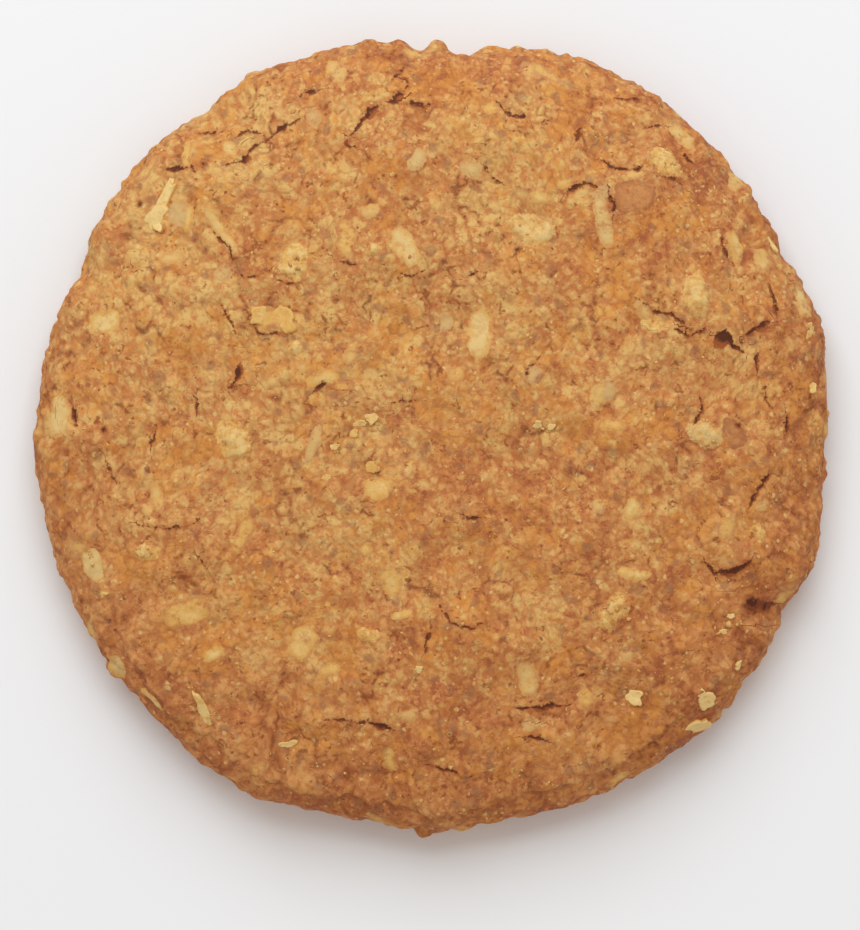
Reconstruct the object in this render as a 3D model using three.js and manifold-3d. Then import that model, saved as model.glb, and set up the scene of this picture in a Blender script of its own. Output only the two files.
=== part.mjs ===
// Anzac biscuit: one baked piece of oat, coconut and golden syrup dough.
// It is a round, low-domed disc with a craggy browned crown, a rounded side and a flat base.
// Oat flakes, shreds of coconut and lumps of crumb stand out of it and are one piece with it.
// Millimetres, +Z up, base on Z = 0, +Y towards the top of the photograph.
// The origin is on the base, at the middle of the outline's box in the photograph.
import * as THREE from "three";
import { mergeVertices } from "three/addons/utils/BufferGeometryUtils.js";
import Module from "manifold-3d";

// Driving dimensions.
const DIAMETER = 66;
const THICKNESS = 10.4;
const GIRTH_HEIGHT = 3.2; // where the side is widest
const BASE_PART = 0.955; // radius of the base as a part of the girth's
const SHOULDER_PART = 0.94; // radius where the crown turns into the side
const CROWN_POWER = 3.6; // higher is flatter across the crown
const DROP_POWER = 1.9; // higher is rounder at the shoulder

// The photograph is 860 by 930; its biscuit is seen from straight above.
const PHOTO_MIDDLE = [429.5, 439]; // middle of the biscuit's box
const PHOTO_RING = [433.6, 434.1]; // middle of the ring that fits its rim
const PHOTO_RING_RADIUS = 398.2;
const MM_PER_PIXEL = DIAMETER / 2 / PHOTO_RING_RADIUS;
const RING_MIDDLE = [
  (PHOTO_RING[0] - PHOTO_MIDDLE[0]) * MM_PER_PIXEL,
  (PHOTO_MIDDLE[1] - PHOTO_RING[1]) * MM_PER_PIXEL,
];

// Lobes and dents of the rim: bearing and half-width in degrees, and how far each stands out.
const RIM_LOBES = [
  [357, 7, -0.4],
  [15, 5, 0.4],
  [27, 3, -0.35],
  [43, 7, 0.2],
  [59, 9, 0.6],
  [68, 5, 0.35],
  [81, 5, -0.5],
  [86, 3, -1.1],
  [92, 2.5, -1.1],
  [116, 4, 0.5],
  [126, 2.5, -0.4],
  [137, 8, 0.25],
  [155, 3.5, -1.1],
  [167, 8, -0.25],
  [182, 4, 0.4],
  [203, 2, -0.3],
  [236, 3, 0.4],
  [243, 3.5, 0.5],
  [258, 7, -0.4],
  [281, 7, -0.4],
  [315, 8, 0.25],
  [333, 3, -0.6],
  [340, 3, 0.5],
];

// Flakes that show on the crown: place on the photograph, length, width and turn from +X in degrees.
const CROWN_FLAKES = [
  [160, 208, 4.4, 1.3, 69],
  [177, 213, 2.3, 2.0, 80],
  [188, 218, 2.6, 0.9, 84],
  [190, 156, 2.8, 0.9, -78],
  [222, 240, 5.0, 0.8, -56],
  [293, 265, 3.0, 2.6, 60],
  [275, 320, 3.9, 1.9, -14],
  [103, 322, 3.2, 1.9, 22],
  [60, 417, 3.6, 2.2, 86],
  [347, 241, 3.0, 1.9, 86],
  [406, 248, 3.4, 1.9, -72],
  [530, 230, 4.4, 2.6, -12],
  [470, 170, 2.0, 1.4, -20],
  [680, 139, 2.8, 1.5, -50],
  [664, 165, 3.2, 1.8, -48],
  [632, 199, 3.2, 2.6, 10],
  [602, 222, 4.4, 1.2, -78],
  [734, 247, 3.0, 1.4, -78],
  [694, 296, 4.0, 2.3, -80],
  [236, 442, 3.4, 2.6, -60],
  [159, 498, 2.9, 1.1, -72],
  [243, 537, 3.4, 1.3, 63],
  [92, 564, 2.5, 1.9, -70],
  [478, 335, 4.3, 1.8, 88],
  [378, 487, 2.8, 1.7, -6],
  [314, 444, 3.5, 0.8, 70],
  [391, 582, 2.4, 1.8, -70],
  [597, 396, 2.5, 2.0, 75],
  [704, 434, 2.9, 2.3, -40],
  [733, 434, 2.6, 1.9, -70],
  [611, 424, 2.3, 1.2, -5],
  [726, 527, 2.1, 1.6, 80],
  [633, 573, 2.9, 0.9, -8],
  [188, 612, 4.0, 2.3, 20],
  [215, 654, 2.2, 1.2, 14],
  [118, 666, 2.0, 1.7, 60],
  [204, 714, 4.2, 0.7, -70],
  [304, 642, 3.2, 2.4, 50],
  [368, 635, 2.3, 1.5, -20],
  [527, 678, 3.0, 1.8, -75],
  [613, 610, 3.4, 2.4, 60],
  [693, 725, 3.0, 1.2, 20],
  [703, 698, 2.1, 1.6, -50],
  [616, 776, 2.2, 1.7, 20],
  [323, 380, 2.9, 1.5, 10],
  [390, 760, 2.5, 1.2, -75],
];
const FLAKE_THICKNESS = 0.9;
const FLAKE_PROUD = 0.3; // how far a flake's top stands out of the crust
const FLAKE_SIDES = 8;
const FLAKE_TOP_PART = 0.74; // a flake narrows to this at its top
const FLAKE_RAGGED = 0.14;

// Cracks and cavities of the crown: width and depth, then the path on the photograph.
const CRACKS = [
  [0.5, 1.2, [407, 62], [396, 78], [408, 87], [395, 103], [386, 104]],
  [0.9, 1.6, [377, 108], [364, 120], [357, 130], [348, 139]],
  [0.6, 1.3, [298, 119], [284, 128], [266, 142], [251, 150], [248, 161], [225, 166]],
  [0.5, 1.0, [237, 135], [249, 132], [262, 135]],
  [0.7, 1.5, [640, 301], [655, 313], [668, 313], [684, 323]],
  [1.3, 1.8, [712, 338], [726, 342], [740, 352]],
  [0.5, 1.1, [741, 337], [757, 330], [766, 322], [778, 320]],
  [1.5, 2.0, [738, 603], [756, 607], [774, 602]],
  [0.5, 1.0, [703, 560], [712, 572], [732, 571], [750, 560]],
  [0.5, 1.1, [511, 706], [540, 706], [566, 704]],
  [0.6, 1.2, [361, 720], [376, 724], [393, 728]],
  [0.6, 1.0, [601, 161], [613, 169], [641, 168]],
  [0.7, 1.2, [499, 105], [511, 117], [527, 121]],
  [1.0, 1.3, [523, 735], [541, 736]],
  [0.5, 1.0, [241, 364], [238, 376], [231, 388]],
  [0.5, 1.0, [140, 525], [165, 526], [187, 527], [199, 520]],
];
const CRACK_CLEAR = 0.8; // a crack's cutter starts this far above the crust

// Smaller lumps of crumb, spread evenly over the crown, and flakes along the side.
const CRUMB_COUNT = 44;
const CRUMB_REACH = 0.93; // part of the crown they cover
const CRUMB_LEAST = 0.8;
const CRUMB_SPREAD = 0.8;
const SIDE_FLAKE_COUNT = 30;
const SIDE_FLAKE_LOW = 1.6;
const SIDE_FLAKE_HIGH = 6.4;
const SIDE_PROUD_PART = 0.45;
const GOLDEN_ANGLE = 137.508;

// Two crumbs that stand out at the girth: bearing, size and how far its middle is sunk.
const RIM_CRUMBS = [
  [268.5, 1.7, 0.1],
  [89.5, 1.9, 0.2],
];

// Swells of the crust: plane waves of seeded headings, a broad set and a close set.
const BROAD_SWELL = { seed: 11, count: 12, rise: 0.06, shortest: 8, spread: 9 };
const CLOSE_SWELL = { seed: 23, count: 16, rise: 0.03, shortest: 3.2, spread: 3 };

const GIRTH_CALM = 0.85; // the swells fade by this at the girth, whose lobes are given
const GIRTH_BAND = 2;

const GRID = 46; // squares across the crust's grid
const FINEST_EDGE = 0.02;
const SHOULDER_SHARE = 0.86; // part of the grid's radius that the crown takes
const CRUST_COLOUR = 0xbe844f;

const radians = THREE.MathUtils.degToRad;
const smooth = THREE.MathUtils.smoothstep;

// A repeatable draw between 0 and 1.
function seeded(seed) {
  let state = seed;
  return () => {
    state = (Math.imul(state, 1664525) + 1013904223) >>> 0;
    return state / 4294967296;
  };
}

// Place on the photograph as millimetres from the middle of the rim's ring.
function fromRing([across, down]) {
  return [(across - PHOTO_RING[0]) * MM_PER_PIXEL, (PHOTO_RING[1] - down) * MM_PER_PIXEL];
}

function swellWaves({ seed, count, rise, shortest, spread }) {
  const draw = seeded(seed);
  return Array.from({ length: count }, () => {
    const wavelength = shortest + spread * draw();
    const heading = 2 * Math.PI * draw();
    const climb = 2 * draw() - 1;
    const phase = 2 * Math.PI * draw();
    const run = (2 * Math.PI) / wavelength;
    const level = Math.sqrt(1 - climb * climb * 0.5);
    const wave = new THREE.Vector3(Math.cos(heading) * level, Math.sin(heading) * level, climb * 0.7);
    return { wave: wave.multiplyScalar(run), phase, rise };
  });
}
const SWELLS = [...swellWaves(BROAD_SWELL), ...swellWaves(CLOSE_SWELL)];

function swell(point) {
  return SWELLS.reduce((sum, s) => sum + s.rise * Math.sin(s.wave.dot(point) + s.phase), 0);
}

// Radius of the girth at a bearing: the mean radius with its lobes and dents.
function girth(bearing) {
  const degrees = THREE.MathUtils.radToDeg(bearing);
  const lobes = RIM_LOBES.map(([at, half, height]) => {
    const apart = ((((degrees - at) % 360) + 540) % 360) - 180;
    return height * Math.exp(-((apart / half) ** 2));
  });
  return DIAMETER / 2 + lobes.reduce((sum, lobe) => sum + lobe, 0);
}

// Height of the crown where its radius is a part of the girth's.
function crownHeight(part) {
  return GIRTH_HEIGHT + (THICKNESS - GIRTH_HEIGHT) * (1 - part ** CROWN_POWER) ** (1 / DROP_POWER);
}
const SHOULDER_HEIGHT = crownHeight(SHOULDER_PART);

// Radius of the side at a height, as a part of the girth's.
function sidePart(height) {
  if (height < GIRTH_HEIGHT) {
    return 1 - (1 - BASE_PART) * (1 - height / GIRTH_HEIGHT) ** 2;
  }
  const up = (height - GIRTH_HEIGHT) / (THICKNESS - GIRTH_HEIGHT);
  return (1 - up ** DROP_POWER) ** (1 / CROWN_POWER);
}

// A point of the crust: share is 0 in the crown's middle and 1 at the base's edge.
function crust(share, bearing) {
  const onCrown = share < SHOULDER_SHARE;
  const sideHeight = (SHOULDER_HEIGHT * (1 - share)) / (1 - SHOULDER_SHARE);
  const crownPart = (SHOULDER_PART * share) / SHOULDER_SHARE;
  const part = onCrown ? crownPart : sidePart(sideHeight);
  const height = onCrown ? crownHeight(crownPart) : sideHeight;
  const radius = part * girth(bearing);
  const point = new THREE.Vector3(radius * Math.cos(bearing), radius * Math.sin(bearing), height);
  const lean = smooth(share, 0.6, SHOULDER_SHARE + 0.06);
  const out = new THREE.Vector3(lean * Math.cos(bearing), lean * Math.sin(bearing), 1 - lean);
  const nearGirth = lean * Math.exp(-(((height - GIRTH_HEIGHT) / GIRTH_BAND) ** 2));
  return point.addScaledVector(out.normalize(), swell(point) * (1 - GIRTH_CALM * nearGirth));
}

// The place and the outward direction of the crust at a share and a bearing.
function seat(share, bearing) {
  const step = 0.012;
  const here = crust(share, bearing);
  const along = crust(share + step, bearing).sub(crust(share - step, bearing));
  const round = crust(share, bearing + step / share).sub(crust(share, bearing - step / share));
  return { here, out: along.cross(round).normalize() };
}

// The same for a place on the crown.
function crownSeat(place) {
  const [x, y] = fromRing(place);
  const bearing = Math.atan2(y, x);
  const part = Math.hypot(x, y) / girth(bearing);
  return seat((SHOULDER_SHARE * part) / SHOULDER_PART, bearing);
}

function solidOf(geometry) {
  geometry.deleteAttribute("normal");
  geometry.deleteAttribute("uv");
  const merged = mergeVertices(geometry, 1e-4);
  const vertProperties = new Float32Array(merged.attributes.position.array);
  const triVerts = new Uint32Array(merged.index.array);
  return new wasm.Manifold(new wasm.Mesh({ numProp: 3, vertProperties, triVerts }));
}

// Bearing and share of a corner of the square grid: each square ring is drawn round to a circle.
function drawnRound(corner) {
  const share = Math.max(Math.abs(corner.x), Math.abs(corner.y));
  if (share === 0) {
    return [0, 0];
  }
  const wide = Math.abs(corner.x) === share;
  const slant = (Math.PI / 4) * (wide ? corner.y / corner.x : -corner.x / corner.y);
  const start = wide ? 0 : Math.PI / 2;
  const opposite = (wide ? corner.x : corner.y) < 0 ? Math.PI : 0;
  return [share, start + slant + opposite];
}

// A point of the base's edge, at the nearest of its evenly spaced bearings.
function baseEdge(bearing) {
  const spacing = Math.PI / (2 * GRID);
  const turns = 4 * GRID;
  const nearest = ((Math.round(bearing / spacing) % turns) + turns) % turns;
  return crust(1, nearest * spacing);
}

// The crust over a disc drawn from a square grid, closed by a fan for the base.
function dough() {
  const sheet = new THREE.PlaneGeometry(2, 2, GRID, GRID).toNonIndexed();
  const fan = new THREE.CircleGeometry(1, 4 * GRID).toNonIndexed();
  const sheetCount = sheet.attributes.position.count;
  const fanCount = fan.attributes.position.count;
  const points = new Float32Array(3 * (sheetCount + fanCount));
  const corner = new THREE.Vector3();
  for (let i = 0; i < sheetCount; i += 1) {
    const [share, bearing] = drawnRound(corner.fromBufferAttribute(sheet.attributes.position, i));
    const spot = share > 0.999 ? baseEdge(bearing) : crust(share, bearing);
    spot.toArray(points, 3 * i);
  }
  for (let i = 0; i < fanCount; i += 1) {
    corner.fromBufferAttribute(fan.attributes.position, fanCount - 1 - i);
    const bearing = Math.atan2(corner.y, corner.x);
    const spot = corner.length() > 0.5 ? baseEdge(bearing) : new THREE.Vector3();
    spot.toArray(points, 3 * (sheetCount + i));
  }
  const geometry = new THREE.BufferGeometry();
  geometry.setAttribute("position", new THREE.BufferAttribute(points, 3));
  return solidOf(geometry);
}

// Turns a shape made flat on Z = 0 to lie on a seat, its own +X at a turn, and sinks it.
function laid(geometry, { here, out }, turn, sunk) {
  const spin = new THREE.Quaternion().setFromAxisAngle(new THREE.Vector3(0, 0, 1), turn);
  const tip = new THREE.Quaternion().setFromUnitVectors(new THREE.Vector3(0, 0, 1), out);
  const place = here.clone().addScaledVector(out, -sunk);
  const matrix = new THREE.Matrix4().compose(place, tip.multiply(spin), new THREE.Vector3(1, 1, 1));
  return solidOf(geometry.applyMatrix4(matrix));
}

// A flake: a flat eight-sided plate, narrower at its top, with an uneven outline.
function flake(length, width, phase) {
  const plate = new THREE.CylinderGeometry(FLAKE_TOP_PART, 1, FLAKE_THICKNESS, FLAKE_SIDES);
  plate.rotateX(Math.PI / 2);
  const corners = plate.attributes.position;
  for (let i = 0; i < corners.count; i += 1) {
    const angle = Math.atan2(corners.getY(i), corners.getX(i));
    const ragged = 1 + FLAKE_RAGGED * Math.sin(3 * angle + phase);
    corners.setX(i, (corners.getX(i) * ragged * length) / 2);
    corners.setY(i, (corners.getY(i) * ragged * width) / 2);
  }
  return plate;
}

// A crack's cutter: a three-cornered section carried along the path, closed at both ends.
function crackCutter([width, depth, ...path]) {
  const seats = path.map(crownSeat);
  const flare = (depth + CRACK_CLEAR) / depth;
  const points = [];
  seats.forEach(({ here }, i) => {
    const before = seats[Math.max(i - 1, 0)].here;
    const after = seats[Math.min(i + 1, seats.length - 1)].here;
    const across = new THREE.Vector3(before.y - after.y, after.x - before.x, 0).normalize();
    const atEnd = i === 0 || i === seats.length - 1;
    const half = (width / 2) * flare * (atEnd ? 0.5 : 1);
    const left = here.clone().addScaledVector(across, half).setZ(here.z + CRACK_CLEAR);
    const right = here.clone().addScaledVector(across, -half).setZ(here.z + CRACK_CLEAR);
    const floor = here.clone().setZ(here.z - depth * (atEnd ? 0.5 : 1));
    points.push(left, right, floor);
  });
  const faces = [0, 1, 2];
  for (let i = 0; i + 3 < points.length; i += 3) {
    for (const [a, b] of [[0, 1], [1, 2], [2, 0]]) {
      faces.push(i + a, i + 3 + b, i + b);
      faces.push(i + a, i + 3 + a, i + 3 + b);
    }
  }
  const last = points.length - 3;
  faces.push(last, last + 2, last + 1);
  const cutter = new THREE.BufferGeometry().setFromPoints(points);
  cutter.setIndex(faces);
  return solidOf(cutter);
}

const wasm = await Module();
wasm.setup();

const toppings = [];
const shapeDraw = seeded(5);
for (const [across, down, length, width, turn] of CROWN_FLAKES) {
  const plate = flake(length, width, 2 * Math.PI * shapeDraw());
  toppings.push(laid(plate, crownSeat([across, down]), radians(turn), FLAKE_THICKNESS / 2 - FLAKE_PROUD));
}

const crumbDraw = seeded(31);
for (let i = 0; i < CRUMB_COUNT; i += 1) {
  const size = CRUMB_LEAST + CRUMB_SPREAD * crumbDraw();
  const lump = new THREE.IcosahedronGeometry(size / 2).scale(1.25, 0.9, 0.8);
  const share = SHOULDER_SHARE * CRUMB_REACH * Math.sqrt((i + 0.5) / CRUMB_COUNT);
  toppings.push(laid(lump, seat(share, radians(GOLDEN_ANGLE * i)), 6 * crumbDraw(), 0.1));
}

const sideDraw = seeded(47);
for (let i = 0; i < SIDE_FLAKE_COUNT; i += 1) {
  const height = SIDE_FLAKE_LOW + (SIDE_FLAKE_HIGH - SIDE_FLAKE_LOW) * sideDraw();
  const plate = flake(1.8 + 1.8 * sideDraw(), 1.1 + 0.9 * sideDraw(), 6 * sideDraw());
  const share = 1 - ((1 - SHOULDER_SHARE) * height) / SHOULDER_HEIGHT;
  const spot = seat(share, radians(GOLDEN_ANGLE * i));
  toppings.push(laid(plate, spot, 3 * sideDraw(), FLAKE_THICKNESS / 2 - FLAKE_PROUD * SIDE_PROUD_PART));
}

const girthShare = 1 - ((1 - SHOULDER_SHARE) * GIRTH_HEIGHT) / SHOULDER_HEIGHT;
for (const [bearing, size, sunk] of RIM_CRUMBS) {
  const lump = new THREE.IcosahedronGeometry(size / 2);
  toppings.push(laid(lump, seat(girthShare, radians(bearing)), 0, sunk));
}

// Flakes and crumbs are fused to the dough, then the cracks are cut.
const fused = toppings.reduce((whole, topping) => whole.add(topping), dough());
const cracked = CRACKS.map(crackCutter).reduce((whole, cutter) => whole.subtract(cutter), fused);

// Scrap that a crack leaves loose is dropped and a hollow that fusing seals is filled.
const pieces = cracked.decompose();
const largest = pieces.reduce((most, piece) => (piece.volume() > most.volume() ? piece : most));

// Edges shorter than a grain of the finest crumb are closed up.
const baked = largest.asOriginal().simplify(FINEST_EDGE).getMesh();
const geometry = new THREE.BufferGeometry();
geometry.setAttribute("position", new THREE.BufferAttribute(new Float32Array(baked.vertProperties), 3));
geometry.setIndex(new THREE.BufferAttribute(new Uint32Array(baked.triVerts), 1));
geometry.translate(RING_MIDDLE[0], RING_MIDDLE[1], 0);
geometry.computeVertexNormals();

const crumbFinish = new THREE.MeshStandardMaterial({ color: CRUST_COLOUR, roughness: 0.85, metalness: 0 });
crumbFinish.name = "baked_crust";
const biscuit = new THREE.Mesh(geometry, crumbFinish);
biscuit.name = "biscuit";

const whole = new THREE.Group();
whole.name = "anzac_biscuit";
whole.add(biscuit);

export default whole;
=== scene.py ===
# %% [markdown]
# # An anzac biscuit
#
# This lesson rebuilds one baked biscuit of oats, coconut and golden syrup dough, seen from straight above.
# The real thing is a single lump of dough that slumped into a low dome in the oven, browned and cracked.
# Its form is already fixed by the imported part, so the lesson loads that first and keeps to its size.
# What Blender adds is the fine surface: crumb, cracks, oat flakes, shreds of coconut and loose crumbs.

import math

import bpy
import numpy as np
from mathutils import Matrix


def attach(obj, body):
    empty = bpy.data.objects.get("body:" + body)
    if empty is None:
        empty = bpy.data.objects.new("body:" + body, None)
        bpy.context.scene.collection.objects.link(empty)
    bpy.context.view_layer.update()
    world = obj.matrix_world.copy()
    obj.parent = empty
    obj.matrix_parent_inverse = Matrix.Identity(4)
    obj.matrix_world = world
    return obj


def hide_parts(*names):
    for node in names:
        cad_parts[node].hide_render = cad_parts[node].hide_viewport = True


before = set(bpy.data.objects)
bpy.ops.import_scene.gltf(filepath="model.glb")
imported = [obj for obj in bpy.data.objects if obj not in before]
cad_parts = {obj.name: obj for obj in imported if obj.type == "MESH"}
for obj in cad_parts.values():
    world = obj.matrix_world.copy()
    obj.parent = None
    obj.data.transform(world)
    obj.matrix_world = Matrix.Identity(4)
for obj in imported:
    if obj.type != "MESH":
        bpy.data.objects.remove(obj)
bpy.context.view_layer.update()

# %% [markdown]
# ## Sizes
#
# Every size is in millimetres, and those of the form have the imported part's names and values.
# The photograph is 860 by 930 pixels, so a place that was read off it is kept in pixels and turned
# into millimetres here. Working from the middle of the ring that fits the rim makes the maths round.

# %% Name the sizes and the photograph's scale
MM = 0.001
DIAMETER = 66.0
THICKNESS = 10.4
GIRTH_HEIGHT = 3.2
BASE_PART = 0.955
SHOULDER_PART = 0.94
SHOULDER_SHARE = 0.86
CROWN_POWER = 3.6
DROP_POWER = 1.9
PHOTO_MIDDLE = np.array([429.5, 439.0])
PHOTO_RING = np.array([433.6, 434.1])
PHOTO_RING_RADIUS = 398.2
MM_PER_PIXEL = DIAMETER / 2 / PHOTO_RING_RADIUS
UP_THE_PHOTO = np.array([MM_PER_PIXEL, -MM_PER_PIXEL])
RING_MIDDLE = (PHOTO_RING - PHOTO_MIDDLE) * UP_THE_PHOTO


def from_ring(places):
    """Places on the photograph, in millimetres from the ring's middle, with +Y up the photograph."""
    return (np.asarray(places, float) - PHOTO_RING) * UP_THE_PHOTO


print(f"one pixel is {MM_PER_PIXEL:.4f} mm; the ring's middle is at {RING_MIDDLE.round(2)} mm")

# %% [markdown]
# ## Chance that repeats
#
# Crumb is uneven, but the same biscuit must come out on each run, so all chance here is worked out
# from whole numbers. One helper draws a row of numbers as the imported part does. The others give a
# number to each cube of space, which makes soft clouds when blended and pebbles when measured from.

# %% Seeded draws, soft noise and pebbles
PRIMES = np.array([73856093, 19349663, 83492791], dtype=np.uint32)


def seeded(seed):
    """Repeatable numbers between 0 and 1: each state is the last one times a constant plus a constant."""
    state = seed
    while True:
        state = (state * 1664525 + 1013904223) % 2**32
        yield state / 2**32


def chance(cubes, seed):
    """A number from 0 to 1 for each whole-number cube: coordinates times primes, mixed by shifts."""
    mixed = np.bitwise_xor.reduce(cubes.astype(np.int64).astype(np.uint32) * PRIMES, axis=-1)
    mixed ^= np.uint32(seed * 374761393 % 2**32)
    for shift, factor in ((15, 2246822519), (13, 3266489917)):
        mixed ^= mixed >> np.uint32(shift)
        mixed *= np.uint32(factor)
    mixed ^= mixed >> np.uint32(16)
    return mixed / 2**32


def soft_noise(points, size, seed):
    """Random levels at the corners of cubes of one size, eased between them: from -1 to 1."""
    spot = points / size
    home = np.floor(spot)
    near = spot - home
    ease = near**3 * (near * (near * 6 - 15) + 10)
    level = np.zeros(points.shape[:-1])
    for corner in np.ndindex(2, 2, 2):
        weight = np.where(corner, ease, 1 - ease).prod(-1)
        level += weight * chance(home + corner, seed)
    return 2 * level - 1


def pebbles(points, size, seed):
    """One random point in each cube: distance to the nearest, to the next, and the nearest's chance."""
    spot = points / size
    home = np.floor(spot)
    nearest = np.full(points.shape[:-1], 9.0)
    second = np.full(points.shape[:-1], 9.0)
    luck = np.zeros(points.shape[:-1])
    for step in np.ndindex(3, 3, 3):
        cube = home + step - np.ones(3)
        middle = cube + np.stack([chance(cube, seed + axis) for axis in range(3)], -1)
        apart = np.linalg.norm(spot - middle, axis=-1)
        luck = np.where(apart < nearest, chance(cube, seed + 3), luck)
        second = np.minimum(second, np.maximum(apart, nearest))
        nearest = np.minimum(apart, nearest)
    return nearest, second, luck


def smooth(value, low, high):
    """Eased step: 0 below low, 1 above high, 3t^2 - 2t^3 between."""
    t = np.clip((value - low) / (high - low), 0, 1)
    return t * t * (3 - 2 * t)


print("first draws of seed 11:", [round(n, 4) for n, _ in zip(seeded(11), range(3))])

# %% [markdown]
# ## The dough's form
#
# A ball of dough on a hot tray slumps to a disc: nearly flat on top, round at the shoulder, widest a
# little above the tray. Here the side and crown are one curve, a superellipse, turned about the middle.
# The radius at each bearing then gets the lobes and dents of this biscuit's own rim, and slow swells
# lift and lower the crust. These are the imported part's formulas, so both have the same form.

# %% The curve of the crown and side, and the rim's lobes
RIM_LOBES = np.array(
    [
        # bearing and half-width in degrees, height in millimetres
        (357, 7, -0.4), (15, 5, 0.4), (27, 3, -0.35), (43, 7, 0.2), (59, 9, 0.6), (68, 5, 0.35),
        (81, 5, -0.5), (86, 3, -1.1), (92, 2.5, -1.1), (116, 4, 0.5), (126, 2.5, -0.4), (137, 8, 0.25),
        (155, 3.5, -1.1), (167, 8, -0.25), (182, 4, 0.4), (203, 2, -0.3), (236, 3, 0.4), (243, 3.5, 0.5),
        (258, 7, -0.4), (281, 7, -0.4), (315, 8, 0.25), (333, 3, -0.6), (340, 3, 0.5),
    ]
)  # fmt: skip


def girth(bearing):
    """Radius at a bearing: the mean radius plus a bell curve for each lobe."""
    at, half, height = RIM_LOBES.T
    apart = (np.degrees(bearing)[..., None] - at + 180) % 360 - 180
    return DIAMETER / 2 + (height * np.exp(-((apart / half) ** 2))).sum(-1)


def crown_height(part):
    """Height of the crown where its radius is a part of the girth's: a superellipse's quarter."""
    fall = (1 - np.clip(part, 0, 1) ** CROWN_POWER) ** (1 / DROP_POWER)
    return GIRTH_HEIGHT + (THICKNESS - GIRTH_HEIGHT) * fall


SHOULDER_HEIGHT = float(crown_height(np.array(SHOULDER_PART)))


def side_part(height):
    """Radius at a height as a part of the girth's: the same superellipse above it, a parabola below."""
    tuck = 1 - (1 - BASE_PART) * (1 - np.clip(height / GIRTH_HEIGHT, 0, 1)) ** 2
    up = np.clip((height - GIRTH_HEIGHT) / (THICKNESS - GIRTH_HEIGHT), 0, 1)
    return np.where(height < GIRTH_HEIGHT, tuck, (1 - up**DROP_POWER) ** (1 / CROWN_POWER))


print(f"the crown turns into the side at {SHOULDER_HEIGHT:.2f} mm")

# %% The swells, and a point of the crust
BROAD_SWELL = {"seed": 11, "count": 12, "rise": 0.06, "shortest": 8, "spread": 9}
CLOSE_SWELL = {"seed": 23, "count": 16, "rise": 0.03, "shortest": 3.2, "spread": 3}
STEEPEST, STEEPEST_SQUARED = 0.7, 0.5
LEAN_FROM, LEAN_TO = 0.6, SHOULDER_SHARE + 0.06
GIRTH_CALM = 0.85
GIRTH_BAND = 2.0


def swell_waves(seed, count, rise, shortest, spread):
    """Plane waves of seeded length, heading, climb and phase: rows of wave vector, phase and rise."""
    draw = seeded(seed)
    rows = []
    for _ in range(count):
        run = 2 * math.pi / (shortest + spread * next(draw))
        heading = 2 * math.pi * next(draw)
        climb = 2 * next(draw) - 1
        level = run * math.sqrt(1 - climb * climb * STEEPEST_SQUARED)
        phase = 2 * math.pi * next(draw)
        wave = (level * math.cos(heading), level * math.sin(heading), run * climb * STEEPEST)
        rows.append((*wave, phase, rise))
    return rows


SWELLS = np.array(swell_waves(**BROAD_SWELL) + swell_waves(**CLOSE_SWELL))


def swell(points):
    """Sum of the plane waves at each point."""
    return (SWELLS[:, 4] * np.sin(points @ SWELLS[:, :3].T + SWELLS[:, 3])).sum(-1)


def crust(share, bearing):
    """Points of the crust and the way they face: share is 0 mid-crown and 1 at the base's edge.

    A radius and a height from the curve, at a bearing, moved outwards by the swells."""
    share, bearing = np.broadcast_arrays(np.asarray(share, float), np.asarray(bearing, float))
    on_crown = share < SHOULDER_SHARE
    crown_part = SHOULDER_PART * share / SHOULDER_SHARE
    side_height = SHOULDER_HEIGHT * (1 - share) / (1 - SHOULDER_SHARE)
    part = np.where(on_crown, crown_part, side_part(side_height))
    height = np.where(on_crown, crown_height(crown_part), side_height)
    around = np.stack([np.cos(bearing), np.sin(bearing)], -1)
    points = np.concatenate([around * (part * girth(bearing))[..., None], height[..., None]], -1)
    lean = smooth(share, LEAN_FROM, LEAN_TO)
    out = np.concatenate([around * lean[..., None], (1 - lean)[..., None]], -1)
    out /= np.linalg.norm(out, axis=-1, keepdims=True)
    calm = 1 - GIRTH_CALM * lean * np.exp(-(((height - GIRTH_HEIGHT) / GIRTH_BAND) ** 2))
    return points + out * (swell(points) * calm)[..., None], out


def crown_share(flat):
    """Share and bearing of places on the crown, given in millimetres from the ring's middle."""
    bearing = np.arctan2(flat[..., 1], flat[..., 0])
    part = np.linalg.norm(flat, axis=-1) / girth(bearing)
    return part * SHOULDER_SHARE / SHOULDER_PART, bearing


print(f"{len(SWELLS)} swells; the middle of the crown is {crust(0, 0)[0][2]:.2f} mm high")
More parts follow.
